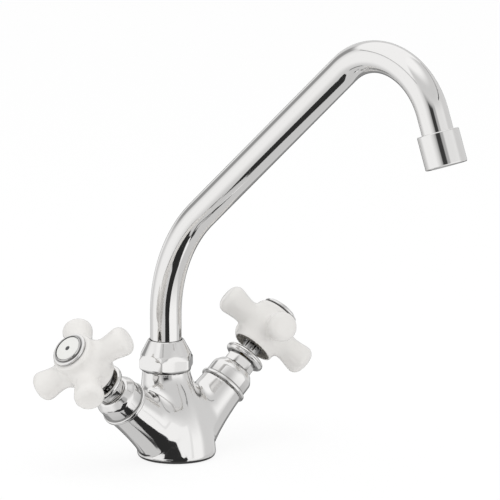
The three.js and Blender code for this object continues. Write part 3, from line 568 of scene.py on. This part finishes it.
def make_world():
    """Even soft light, a white field for the camera and for what mirrors it, and one lamp overhead."""
    soft_light, lamp_width, lamp_watts, lamp_place = 0.78, 2.4, 22, Vector((-0.6, -0.5, 2.4))
    scene = bpy.context.scene
    scene.view_settings.view_transform = "Standard"
    world = bpy.data.worlds.new("studio")
    scene.world = world
    world.use_nodes = True
    tree = world.node_tree
    tree.nodes.clear()
    path = add(tree, "ShaderNodeLightPath").outputs
    soft = add(tree, "ShaderNodeBackground", {"Color": (1, 1, 1, 1), "Strength": soft_light})
    white = add(tree, "ShaderNodeBackground", {"Color": (1, 1, 1, 1), "Strength": 1.0})
    seen = path["Is Camera Ray"]
    for ray in ("Is Glossy Ray", "Is Transmission Ray"):
        seen = add(tree, "ShaderNodeMath", {0: seen, 1: path[ray]}, operation="MAXIMUM")
    both = add(tree, "ShaderNodeMixShader", {0: seen, 1: soft, 2: white})
    add(tree, "ShaderNodeOutputWorld", {"Surface": both})
    lamp = bpy.data.lights.new("overhead", "AREA")
    lamp.shape = "SQUARE"
    lamp.size = lamp_width
    lamp.energy = lamp_watts
    thing = linked("overhead", lamp)
    turn = lamp_place.to_track_quat("Z", "Y").to_matrix().to_4x4()
    thing.matrix_world = Matrix.Translation(lamp_place) @ turn
    thing.visible_glossy = False


def glowing(name, level=None):
    """Light of one level, or of its points' own levels, for what only the chrome sees."""
    material = bpy.data.materials.new(name)
    material.use_nodes = True
    tree = material.node_tree
    tree.nodes.clear()
    if level is None:
        level = add(tree, "ShaderNodeAttribute", attribute_name="level").outputs["Fac"]
    glow = add(tree, "ShaderNodeEmission", {"Strength": level})
    add(tree, "ShaderNodeOutputMaterial", {"Surface": glow})
    return material


def stage_mesh(name, corners, faces, material, mirrored_only=True):
    """A mesh of the stage, which is no piece of the tap. Most are seen only where the chrome mirrors them."""
    mesh = bpy.data.meshes.new(name)
    mesh.from_pydata(corners, [], faces)
    mesh.materials.append(material)
    card = linked(name, mesh)
    if mirrored_only:
        for ray in ("camera", "diffuse", "transmission", "shadow"):
            setattr(card, "visible_" + ray, False)
    return card


def make_shell():
    """The wide shell with the studio's soft panels."""
    across, up, radius = 180, 90, 6
    turn = np.repeat(np.arange(across), up + 1) * 360 / across - 180
    rise = np.tile(np.arange(up + 1) * 180 / up - 90, across)
    level = np.full(len(turn), STUDIO_LIGHT)
    for _, azimuth, elevation, half_width, half_height, fade, light in PANELS:
        share = np.ones(len(turn))
        for off, half in ((np.abs((turn - azimuth + 180) % 360 - 180), half_width),
                          (np.abs(rise - elevation), half_height)):
            inside = np.clip((half + fade / 2 - off) / fade, 0, 1)
            share *= inside * inside * (3 - 2 * inside)
        level += (light - level) * share
    turn, rise = np.radians(turn), np.radians(rise)
    points = radius * np.stack([np.sin(turn) * np.cos(rise), -np.cos(turn) * np.cos(rise), np.sin(rise)], 1)
    faces = []
    for i in range(across):
        here, there = i * (up + 1), (i + 1) % across * (up + 1)
        faces += [(here + k, there + k, there + k + 1, here + k + 1) for k in range(up)]
    shell = stage_mesh("studio shell", points.tolist(), faces, glowing("studio panels"))
    shell.data.attributes.new("level", "FLOAT", "POINT").data.foreach_set("value", level)


# What stands near enough for its reflection to change along the tap, in millimetres. The table is given from
# above (x, y), and the cards as the tap sees them (to the right, up). Each has its light as the panels do.
TABLE_HEIGHT = -141
TABLE = (
    ("table", 0.70, ((-250, -16), (-140, -80), (-89, -86), (-73, -118), (-45, -150), (0, -172), (900, -690),
                     (900, 45), (50, 45), (-30, 120), (-250, 120))),
    ("table edge", 0.05, ((-285, 5), (-250, -30), (-250, 120), (-285, 120))),
)
CARDS_FACE = math.radians(-30)
FLAG_AWAY, CARDS_AWAY = 240, 62
CARDS = (
    ("black flag", 0.03, FLAG_AWAY, (
        (-60, 60), (50, 60), (70, 20), (80, -20), (85, -50), (100, -110), (107, -150), (120, -200), (120, -900),
        (-420, -900), (-350, -340), (-160, -100), (-125, -95), (-78, -85), (-68, -30), (-75, 0))),
    ("black card", 0.03, CARDS_AWAY, (
        (-48, 3), (-30, 11), (-8, 20), (-3, 12), (3, 4), (10, 1), (18, 3), (22, -8), (22, -75), (-34, -75),
        (-24, -54), (-14, -36), (-14, -10), (-55, -10))),
    ("white paper", 1.1, CARDS_AWAY, (
        (-8, 20), (-3, 12), (3, 4), (10, 1), (18, 3), (22, -8), (34, -8), (34, 47), (20, 40), (0, 24))),
    ("paper's curl", 0.96, CARDS_AWAY, ((34, -8), (44, -8), (44, 51), (34, 47))),
)
# Dark seams of the tent overhead, from one azimuth to another round a middle of their own.
SEAMS = (("tent seam right", 35, 110, 0.08), ("tent seam left", -150, -75, 0.4))
SEAM_MIDDLE, SEAM_RADIUS, SEAM_HEIGHTS = (30, -200), 500, (538, 566)
SHADE_RADIUS, SHADE_HEIGHT, SHADE = 27.5, -1, 0.06


def make_cards():
    """The table, the flag, the cards, the shade that the foot stands in, and the tent's seams."""
    front = Vector((math.sin(CARDS_FACE), -math.cos(CARDS_FACE), 0))
    side = Vector((math.cos(CARDS_FACE), math.sin(CARDS_FACE), 0))
    cards = [(name, light, [(x, y, TABLE_HEIGHT) for x, y in outline]) for name, light, outline in TABLE]
    cards += [(name, light, [front * away + side * x + Vector((0, 0, z)) for x, z in outline])
              for name, light, away, outline in CARDS]
    ring = [(SHADE_RADIUS * math.cos(a), SHADE_RADIUS * math.sin(a), SHADE_HEIGHT)
            for a in np.radians(range(0, 360, 15))]
    for name, light, corners in (*cards, ("shade under the foot", SHADE, ring)):
        corners = [Vector(corner) * MM for corner in corners]
        stage_mesh(name, corners, [tuple(range(len(corners)))], glowing(name, light))
    x, y = SEAM_MIDDLE
    for name, first, last, light in SEAMS:
        swings = np.radians(np.arange(first, last + 1, 5))
        rim = [Vector((x + SEAM_RADIUS * math.sin(a), y - SEAM_RADIUS * math.cos(a), z)) * MM
               for z in SEAM_HEIGHTS for a in swings]
        count = len(swings)
        stage_mesh(name, rim, [(i, i + 1, count + i + 1, count + i) for i in range(count - 1)],
                   glowing(name, light))


def make_floor():
    """A white floor that keeps the tap's shadow, mostly its own white to the camera."""
    reach, own_white = 4, 0.85
    tree, shader, _ = start("pale floor", Roughness=0.9, Base_Color=bpy.context.scene.tap_finish.floor)
    camera = add(tree, "ShaderNodeLightPath").outputs["Is Camera Ray"]
    glow = add(tree, "ShaderNodeEmission", {"Color": (1, 1, 1, 1), "Strength": 1.0})
    share = add(tree, "ShaderNodeMath", {0: camera, 1: own_white}, operation="MULTIPLY")
    both = add(tree, "ShaderNodeMixShader", {0: share, 1: shader, 2: glow})
    feed(tree, tree.nodes["Material Output"], {"Surface": both})
    corners = [(-reach, -reach, 0), (reach, -reach, 0), (reach, reach, 0), (-reach, reach, 0)]
    floor = stage_mesh("floor", corners, [(0, 1, 2, 3)], bpy.data.materials["pale floor"], False)
    floor.visible_glossy = False


# ---- Pieces ----

SOCKET = 9.4  # radius of the neck's bore, in millimetres
MOUTH = 10.3  # radius of the nut's and the aerator case's mouths, round the tube


def chrome_turning(name, corners, place, body, node, sides=128, flats=None, crevices=()):
    """A turned and chromed piece of the tap, with the corners of its outline rounded."""
    mesh = turned(rounded(corners), place, sides, flats, crevices)
    piece_from(name, mesh, materials()["chrome plated turning"], body, node)


class TAP_OT_casting(bpy.types.Operator):
    """The cast body, its three limbs blended into one another"""

    bl_idname = "tap.casting"
    bl_label = "Cast body"

    def execute(self, context):
        low, high = (-52, -26, 0), (52, 27, 56)
        mesh = cut_away(skin(casting_field(), low, high, in_mm("tap_casting", "cell")[0]), casting_cutters())
        thread = turned([(SOCKET, 54), (12.4, 54), (12.4, 62.9), (SOCKET, 62.9)], neck_place(), 64)
        made = bmesh.new()
        made.from_mesh(mesh)
        made.from_mesh(thread)
        made.to_mesh(mesh)
        made.free()
        piece_from("tap_casting", mesh, materials()["chrome plated casting"], "tap_body",
                   "mixer_body")
        sharpened(mesh)
        return {"FINISHED"}


def limb_field(end, direction, radius, lift, reach, waist):
    """Distance to a limb that rises from the foot's circle, leans over and narrows to a round end,
    sooner with a lower waist."""
    foot, = in_mm("tap_casting", "foot_radius")
    curve = np.array([(0, 0, 0.8), (0, 0, lift), end - direction * reach, end])
    samples = np.linspace(0, 1, 25)

    def at(t):
        t = t[:, None]
        middle = ((1 - t) ** 3 * curve[0] + 3 * t * (1 - t) ** 2 * curve[1]
                  + 3 * t * t * (1 - t) * curve[2] + t ** 3 * curve[3])
        ease = t[:, 0] ** waist
        return middle, foot + (radius - foot) * ease * ease * (3 - 2 * ease)

    centres, radii = at(samples)

    def field(points):
        away = np.stack([np.sqrt(((points - c) ** 2).sum(1)) - r for c, r in zip(centres, radii)], 1)
        best = np.clip(away.argmin(1), 1, len(samples) - 2)
        rows = np.arange(len(points))
        a, b, c = away[rows, best - 1], away[rows, best], away[rows, best + 1]
        bend = np.maximum(a - 2 * b + c, 1e-9)
        t = np.clip(samples[best] + np.clip((a - c) / (2 * bend), -1, 1) * samples[1], 0, 1)
        middle, r = at(t)
        side = np.sqrt(((points - middle) ** 2).sum(1)) - r
        return soft_max(side, (points - end) @ direction, 0.5)

    return field


def casting_field():
    """The two arms and the neck, blended more the higher they part, over the round foot."""
    arm, neck, back, top, fillet, foot_round = in_mm("tap_casting", "arm_radius", "neck_radius", "neck_back",
                                                     "neck_top", "fillet", "foot_round")
    low_blend, blend_from, blend_over = 0.4, 8, 30
    limbs = []
    for side in SIDES:
        place = valve_place(side)
        end = np.array(place @ Vector((0, 0, bpy.context.scene.tap_valve.arm_face))) / MM
        direction = np.array(place.to_3x3() @ Vector((0, 0, 1)))
        limbs.append(limb_field(end, direction, arm, 9, 2, 0.5))
    limbs.append(limb_field(np.array((0, back, top)), np.array((0, 0, 1.0)), neck, 20, 17, 1.2))

    def field(points):
        left, right, neck = (limb(points) for limb in limbs)
        high = np.clip((points[:, 2] - blend_from) / blend_over, 0, 1)
        blend = low_blend + fillet * high * high * (3 - 2 * high)
        whole = soft_min(soft_min(left, right, blend), neck, blend)
        return soft_max(whole, -points[:, 2], foot_round)

    return field


def casting_cutters():
    """The bores of the valves, the spout's socket, the passages and the hollow under the foot."""
    face, = in_mm("tap_valve", "arm_face")
    back = bpy.context.scene.tap_casting.neck_back
    seat, ledge, meet, leave, arrive = 31, 40, 13, 35.5, 35.6  # along a valve's axis, but arrive is a height
    cutters = [bored(SOCKET, 31, 66, neck_place()), bored(16.5, -1, 6, Matrix()),
               turned([(18.2, -1), (21, -1), (21, 2), (18.2, 2)], Matrix()),
               bored(3.4, -1, 15, Matrix.Translation((0, -0.010, 0)))]
    for side in SIDES:
        place = valve_place(side)
        cutters.append(turned([(0, seat + 1.2), (5.3, seat + 1.2), (5.7, seat), (8.9, seat), (8.9, ledge),
                               (10.3, ledge), (10.3, face + 3), (0, face + 3)], place, 48))
        cutters.append(bored(4, 9, seat + 2, place))
        meeting = place @ Vector((0, 0, meet * MM))
        cutters.append(bored(4.2, -1, meeting.z / MM, Matrix.Translation((meeting.x, meeting.y, 0))))
        start_at = place @ Vector((0, 0, leave * MM))
        way = Vector((0, back, arrive * MM)) - start_at
        turn = way.to_track_quat("Z", "Y").to_matrix().to_4x4()
        cutters.append(bored(3.6, 0, way.length / MM, Matrix.Translation(start_at) @ turn, 24))
    return cutters


class TAP_OT_spout_nut(bpy.types.Operator):
    """The conical hexagon nut that holds the spout on its neck"""

    bl_idname = "tap.spout_nut"
    bl_label = "Spout nut"

    def execute(self, context):
        foot, rim, bore, shoulder = 54.65, 74.4, 12.7, 67.5
        corners = [(bore, foot, 0), (15.4, foot, 0.4), (18.4, 57.1, 1.2), (18.4, 62, 1.5), (15.9, 65.6, 6),
                   (11.5, rim - 0.4, 0.5), (11.1, rim, 0.2), (MOUTH, rim, 0.2), (MOUTH, shoulder, 0),
                   (bore, shoulder, 0)]
        chrome_turning("hexagon_spout_nut", corners, neck_place(math.radians(12.1)), "tap_body", "spout_nut",
                       288, (6, 15.8, 0.5), ((15.4, foot, 1.2), (MOUTH, rim, 1.0)))
        return {"FINISHED"}


IN_CASE = 7  # how far the tube enters the aerator's case, in millimetres


def spout_points(step=2.0):
    """Points and headings along the tube's centre line, in its own plane: X outwards, Z up. Millimetres."""
    sizes = bpy.context.scene.tap_spout
    foot, rise, low, run, top, end = in_mm("tap_spout", "foot", "rise", "low_bend", "run", "top_bend", "end")
    x, z, heading = 0.0, foot, math.pi / 2
    stretches = ((rise - foot, 0), (low * (math.pi / 2 - sizes.slope), low), (run, 0),
                 (top * (sizes.slope + math.pi / 2 - sizes.end_tilt), top), (end + IN_CASE, 0))
    rows = [(x, z, heading)]
    for distance, radius in stretches:
        count = max(2, math.ceil(distance / step))
        for _ in range(count):
            go = distance / count
            turn = go / radius if radius else 0
            chord = 2 * radius * math.sin(turn / 2) if radius else go
            x += chord * math.cos(heading - turn / 2)
            z += chord * math.sin(heading - turn / 2)
            heading -= turn
            rows.append((x, z, heading))
    return rows


def spout_place():
    """From the plane of the spout's centre line to the tap's frame."""
    return neck_place(bpy.context.scene.tap_spout.turn - math.pi / 2)


def outlet_place():
    """From the aerator's own frame, Z the way that the water leaves, to the tap's frame."""
    x, z, heading = spout_points()[-1]
    way = Vector((math.cos(heading), 0, math.sin(heading)))
    foot = Vector((x, 0, z)) - way * IN_CASE
    return spout_place() @ Matrix.Translation(foot * MM) @ way.to_track_quat("Z", "Y").to_matrix().to_4x4()


def node_group(name, numbers):
    """A new Geometry Nodes tree with a geometry input, named number inputs, a finish and a geometry output."""
    tree = bpy.data.node_groups.new(name, "GeometryNodeTree")
    tree.interface.new_socket("Geometry", in_out="INPUT", socket_type="NodeSocketGeometry")
    for label, value in numbers.items():
        tree.interface.new_socket(label, in_out="INPUT", socket_type="NodeSocketFloat").default_value = value
    tree.interface.new_socket("Finish", in_out="INPUT", socket_type="NodeSocketMaterial")
    tree.interface.new_socket("Geometry", in_out="OUTPUT", socket_type="NodeSocketGeometry")
    return tree, add(tree, "NodeGroupInput").outputs, add(tree, "NodeGroupOutput")


def run_nodes(thing, tree, values):
    """Puts a tree on an object, sets its named inputs, and returns the plain mesh."""
    modifier = thing.modifiers.new("make", "NODES")
    modifier.node_group = tree
    for item in tree.interface.items_tree:
        if item.in_out == "INPUT" and item.name in values:
            modifier[item.identifier] = values[item.name]
    return applied(thing)


class TAP_OT_spout_tube(bpy.types.Operator):
    """The bent tube, swept along its centre line"""

    bl_idname = "tap.spout_tube"
    bl_label = "Spout tube"

    def execute(self, context):
        sizes = context.scene.tap_spout
        rows, place, chrome = spout_points(), spout_place(), materials()["chrome plated tube"]
        line = bpy.data.meshes.new("centre line")
        line.from_pydata([place @ Vector((x * MM, 0, z * MM)) for x, z, _ in rows],
                         [(i, i + 1) for i in range(len(rows) - 1)], [])
        mesh = run_nodes(linked("tube", line), sweeping_tree(),
                         {"Outside": sizes.radius, "Wall": sizes.wall, "Finish": chrome})
        made = bmesh.new()
        made.from_mesh(mesh)
        rims = [e for e in made.edges if e.is_boundary]
        halfway = 0.1
        for upper in (False, True):
            bmesh.ops.bridge_loops(made, edges=[e for e in rims if (e.verts[0].co.z > halfway) == upper])
        bmesh.ops.recalc_face_normals(made, faces=made.faces)
        made.to_mesh(mesh)
        made.free()
        piece_from("bent_tube", mesh, chrome, "spout", "spout_tube")
        sharpened(mesh)
        return {"FINISHED"}


def sweeping_tree():
    """Sweeps a tube's outer and inner walls along a line, with open ends."""
    tree, given, out = node_group("sweep a tube", {"Outside": 0.01, "Wall": 0.001})
    path = add(tree, "GeometryNodeMeshToCurve", {"Mesh": given["Geometry"]})
    steady = add(tree, "GeometryNodeSetCurveNormal", {"Curve": path})
    inside = add(tree, "ShaderNodeMath", {0: given["Outside"], 1: given["Wall"]},
                 operation="SUBTRACT")
    walls = []
    for radius in (given["Outside"], inside):
        ring = add(tree, "GeometryNodeCurvePrimitiveCircle", {"Resolution": 96, "Radius": radius})
        walls.append(add(tree, "GeometryNodeCurveToMesh", {"Curve": steady,
                                                          "Profile Curve": ring}))
    inner = add(tree, "GeometryNodeFlipFaces", {"Mesh": walls[1]})
    both = add(tree, "GeometryNodeJoinGeometry", {"Geometry": walls[0]})
    feed(tree, both, {"Geometry": inner})
    smooth = add(tree, "GeometryNodeSetShadeSmooth", {"Geometry": both})
    finished(tree, smooth, given, out)
    return tree


class TAP_OT_aerator(bpy.types.Operator):
    """The plain round case on the spout's end, and the perforated insert in its mouth"""

    bl_idname = "tap.aerator"
    bl_label = "Aerator"

    def execute(self, context):
        r, end = in_mm("tap_spout", "case_radius", "case_length")
        outlet, bore, lip = 9.9, 11.9, end - 1.4
        corners = [(MOUTH, 0, 0), (r, 0, 0.7), (r, end, 0.8), (outlet, end, 0.6), (outlet, lip, 0.3),
                   (bore, lip, 0), (bore, 8, 0), (MOUTH, 8, 0)]
        chrome_turning("aerator_sleeve", corners, outlet_place(), "spout", "aerator_case",
                       crevices=((MOUTH, 0, 1.3), (outlet, end - 1, 1.2)))
        floor, wall = 0.8, 5.7
        cup = turned(rounded([(0, -floor, 0), (11.6, -floor, 0.2), (11.6, wall, 0.2), (10.6, wall, 0.3),
                              (10.4, floor, 0.5), (2.4, floor, 0.3), (2.2, floor + 1, 0.2),
                              (0, floor + 1, 0)]), Matrix())
        acetal = materials()["moulded acetal"]
        mesh = run_nodes(linked("cup", cup), perforating_tree(),
                         {"Hole radius": context.scene.tap_spout.jet_radius, "Drill": 0.006, "Finish": acetal})
        mesh.transform(outlet_place() @ Matrix.Translation((0, 0, (end - 1.7 - wall) * MM)))
        piece_from("perforated_insert", mesh, acetal, "spout", "aerator_insert")
        sharpened(mesh)
        return {"FINISHED"}


def perforating_tree():
    """Drills a ring of ten holes and a ring of six through a disc on XY, and one through its middle."""
    tree, given, out = node_group("perforate a disc", {"Hole radius": 0.001, "Drill": 0.01})
    spots = add(tree, "GeometryNodeJoinGeometry", {"Geometry": add(tree, "GeometryNodePoints")})
    for count, radius in ((6, 4.4), (10, 7.8)):
        ring = add(tree, "GeometryNodeMeshCircle", {"Vertices": count, "Radius": radius * MM})
        feed(tree, spots, {"Geometry": ring})
    drill = add(tree, "GeometryNodeMeshCylinder", {"Vertices": 16, "Radius": given["Hole radius"],
                                                   "Depth": given["Drill"]})
    drills = add(tree, "GeometryNodeInstanceOnPoints", {"Points": spots, "Instance": drill})
    real = add(tree, "GeometryNodeRealizeInstances", {"Geometry": drills})
    holes = add(tree, "GeometryNodeMeshBoolean", {"Mesh 1": given["Geometry"], "Mesh 2": real},
                operation="DIFFERENCE")
    finished(tree, holes, given, out)
    return tree


def finished(tree, last, given, out):
    """Ends a tree with real geometry that has its finish."""
    real = add(tree, "GeometryNodeRealizeInstances", {"Geometry": last})
    finish = add(tree, "GeometryNodeSetMaterial", {"Geometry": real,
                                                  "Material": given["Finish"]})
    feed(tree, out, {0: finish})


class TAP_OT_valves(bpy.types.Operator):
    """On each arm: the bell-shaped bonnet, the small gland nut, the round-edged stem collar and the boss"""

    bl_idname = "tap.valves"
    bl_label = "Bonnets, gland nuts, stem collars and bosses"

    def execute(self, context):
        foot, top, gland, disc = in_mm("tap_valve", "bonnet_foot", "bonnet_top", "gland_top", "collar_top")
        bell, lip, collar, boss = in_mm("tap_valve", "bonnet_radius", "lip_radius", "collar_radius",
                                        "boss_radius")
        hub = in_mm("tap_handle", "hub_under")[0] + 0.85
        low, under, boss_foot = foot - 0.25, gland + 0.15, disc + 1.4
        eye, inside, hexagon, guide, stem, screw = 8.3, 12.5, 9.8, 7.65, 4.5, 2.1
        socket, socket_top, socket_floor = 7.2, 97.3, 93.2
        for side in SIDES:
            place, moving, handle = valve_place(side), handle_place(side), "handle_" + side
            corners = [(inside, low, 0), (lip, low, 1.0), (lip, foot + 2.1, 1.2), (bell, foot + 2.7, 0.8),
                       (bell, top - 4.8, 4.6), (10.7, top, 3.0), (eye, top, 0.3), (eye, top - 1.3, 0),
                       (9.8, top - 1.3, 0), (inside, top - 5.5, 0)]
            chrome_turning(f"bell_bonnet_{side}", corners, place, "tap_body", f"bonnet_{side}",
                           crevices=((lip, low, 1.0), (bell, foot + 2.5, 1.1), (eye, top, 1.4)))
            corners = [(guide, top + 0.3, 0), (hexagon, top + 0.3, 0.2), (hexagon, gland - 0.9, 0.6),
                       (8.5, gland, 0.3), (4.8, gland, 0.2), (4.8, gland - 2, 0), (guide, gland - 2, 0)]
            chrome_turning(f"hexagon_gland_{side}", corners, place, "tap_body", f"gland_nut_{side}", 192,
                           (6, 8.49, 0.35), ((hexagon, top + 0.3, 0.8), (9.0, gland, 1.2)))
            corners = [(stem, under, 0), (collar, under, 2.0), (collar, disc, 2.0), (8.2, disc, 0.25),
                       (7.9, disc + 1.2, 0.4), (stem, disc + 1.2, 0)]
            chrome_turning(f"round_collar_{side}", corners, moving, handle, f"stem_collar_{side}",
                           crevices=((9.0, under, 3.2), (8.0, disc, 2.0)))
            corners = [(stem, boss_foot, 0), (boss, boss_foot, 0.3), (boss, hub, 0), (socket, hub, 0),
                       (socket, socket_top, 0), (screw, socket_top, 0), (screw, socket_floor, 0),
                       (stem, socket_floor, 0)]
            chrome_turning(f"faceted_boss_{side}", corners, moving, handle, f"handle_insert_{side}", 96,
                           (6, boss - 0.3, 0.2), ((boss, boss_foot, 0.7), (boss, hub, 0.9)))
        return {"FINISHED"}


class TAP_OT_handles(bpy.types.Operator):
    """The four-armed porcelain handles, with an unglazed hollow underneath"""

    bl_idname = "tap.handles"
    bl_label = "Cross handles"

    def execute(self, context):
        under, top, reach, cell = in_mm("tap_handle", "hub_under", "hub_top", "reach", "cell")
        upright = Matrix()
        mesh = skin(handle_field(), (-reach, -reach, under), (reach, reach, top), cell)
        mesh = cut_away(mesh, [bored(7.5, under - 1, 97.6, upright), bored(2.1, 90, top + 1, upright, 24),
                               bored(7.3, 104.6, top + 1, upright)])
        made = materials()
        for side in SIDES:
            copy = mesh.copy()
            piece_from(f"porcelain_cross_{side}", copy, made["glazed porcelain"], "handle_" + side,
                       f"cross_handle_{side}")
            # Painted shade: the faces of the hollow take the darkened unglazed finish.
            copy.materials.append(made["unglazed porcelain"])
            for face in copy.polygons:
                x, y, z = face.center / MM
                if math.hypot(x, y) < HOLLOW + 0.2 and z < under + HOLLOW_DEPTH + 0.3:
                    face.material_index = 1
            copy.transform(handle_place(side))
            sharpened(copy, 50)
        return {"FINISHED"}


HOLLOW, HOLLOW_DEPTH = 12.4, 0.6  # the wiped hollow under a handle: radius and depth, in millimetres


def handle_field():
    """A barrel-shaped hub with four arms, each narrow at its waist and thick at its round end."""
    under, top, hub, reach, waist, club, fillet = in_mm("tap_handle", "hub_under", "hub_top", "hub_radius",
                                                        "reach", "waist", "club", "fillet")
    middle = (under + top) / 2
    root_at, waist_at, club_at, root = 9, 18.5, 31, 10.2

    def eased(t):
        t = np.clip(t, 0, 1)
        return t * t * (3 - 2 * t)

    def field(points):
        x, y, z = points[:, 0], points[:, 1], points[:, 2] - middle
        out = np.hypot(x, y)
        belly = hub - 0.5 * np.minimum(z / 14.7, 0) ** 2
        body = soft_max(out - belly, points[:, 2] - top, 4.2)
        body = soft_max(body, under - points[:, 2], 1.2)
        arms = None
        for along, across in ((np.abs(x), y), (np.abs(y), x)):
            round_to = np.hypot(across, z)
            radius = (root + (waist - root) * eased((along - root_at) / (waist_at - root_at))
                      + (club - waist) * eased((along - waist_at) / (club_at - waist_at)))
            arm = soft_max(round_to - radius, along - reach + (round_to / club) ** 2, 5.2)
            arms = arm if arms is None else soft_min(arms, arm, 2.0)
        hollow = soft_max(out - HOLLOW, points[:, 2] - (under + HOLLOW_DEPTH), 0.4)
        return soft_max(soft_min(body, arms, fillet), -hollow, 0.3)

    return field


class TAP_OT_index_caps(bpy.types.Operator):
    """The stepped chrome rings and white faces on top of the handles"""

    bl_idname = "tap.index_caps"
    bl_label = "Index caps"

    def execute(self, context):
        hub, ring, face = in_mm("tap_handle", "hub_top", "ring_radius", "face_radius")
        foot = hub + 0.3
        step, top, rim, plug = foot + 1.7, foot + 3.0, face + 0.3, foot - 3
        for side in SIDES:
            place = handle_place(side)
            corners = [(0, foot, 0), (5.6, foot, 0.1), (5.6, plug, 0.1), (7, plug, 0.2), (7, foot, 0.1),
                       (ring, foot, 0.3), (ring, step, 0.6), (9.6, step, 0.2), (9.4, top, 0.45),
                       (rim, top, 0.25), (rim, top - 1.5, 0.1), (0, top - 1.5, 0)]
            chrome_turning(f"index_bezel_{side}", corners, place, "handle_" + side, f"index_ring_{side}",
                           crevices=((ring, foot, 0.9), (9.5, step, 0.9), (rim, top - 0.3, 0.8)))
            corners = [(0, top - 1.2, 0), (face, top - 1.2, 0.1), (face, top - 0.35, 0.25),
                       (face * 0.5, top - 0.2, 0), (0, top - 0.15, 0)]
            mesh = turned(rounded(corners), place, 96)
            axis = place.inverted()
            out = [(axis @ vertex.co).xy.length for vertex in mesh.vertices]
            mesh.attributes.new("from_axis", "FLOAT", "POINT").data.foreach_set("value", out)
            piece_from(f"index_enamel_{side}", mesh, materials()["stoved enamel"], "handle_" + side,
                       f"index_face_{side}")
        return {"FINISHED"}


class TAP_OT_inner_pieces(bpy.types.Operator):
    """Gives the pieces inside the tap their own finishes"""

    bl_idname = "tap.inner_pieces"
    bl_label = "Inner pieces"

    def execute(self, context):
        made = materials()
        finishes = {"brass": "machined brass", "rubber": "moulded rubber", "nylon": "moulded acetal",
                    "fibre": "pressed fibre", "chrome_plate": "chrome plated turning",
                    "porcelain": "glazed porcelain", "index_enamel": "stoved enamel"}
        slots = {row["node"]: row["material_slot"] for row in frame["record"]["subparts"]}
        for name, thing in frame["nodes"].items():
            thing.data.materials.clear()
            thing.data.materials.append(made[finishes[slots[name]]])
        return {"FINISHED"}


class TAP_PT_panel(bpy.types.Panel):
    """Lists what makes the tap"""

    bl_idname = "TAP_PT_panel"
    bl_label = "Mixer tap"
    bl_space_type = "VIEW_3D"
    bl_region_type = "UI"
    bl_category = "Tap"

    def draw(self, context):
        for operator in OPERATORS:
            self.layout.operator(operator.bl_idname)
        for group in GROUPS:
            for name in group[1].__annotations__:
                self.layout.prop(getattr(context.scene, group[0]), name)


GROUPS = (("tap_casting", TapCasting), ("tap_spout", TapSpout), ("tap_valve", TapValve),
          ("tap_handle", TapHandle), ("tap_finish", TapFinish))
OPERATORS = (TAP_OT_stage, TAP_OT_inner_pieces, TAP_OT_casting, TAP_OT_spout_nut, TAP_OT_spout_tube,
             TAP_OT_aerator, TAP_OT_valves, TAP_OT_handles, TAP_OT_index_caps)


def register():
    for name, group in GROUPS:
        bpy.utils.register_class(group)
        setattr(bpy.types.Scene, name, bpy.props.PointerProperty(type=group))
    for thing in (*OPERATORS, TAP_PT_panel):
        bpy.utils.register_class(thing)


def unregister():
    for thing in (TAP_PT_panel, *OPERATORS):
        bpy.utils.unregister_class(thing)
    for name, group in GROUPS:
        delattr(bpy.types.Scene, name)
        bpy.utils.unregister_class(group)


def main():
    register()
    for operator in OPERATORS:
        group, name = operator.bl_idname.split(".")
        getattr(getattr(bpy.ops, group), name)()


if __name__ == "__main__":
    main()
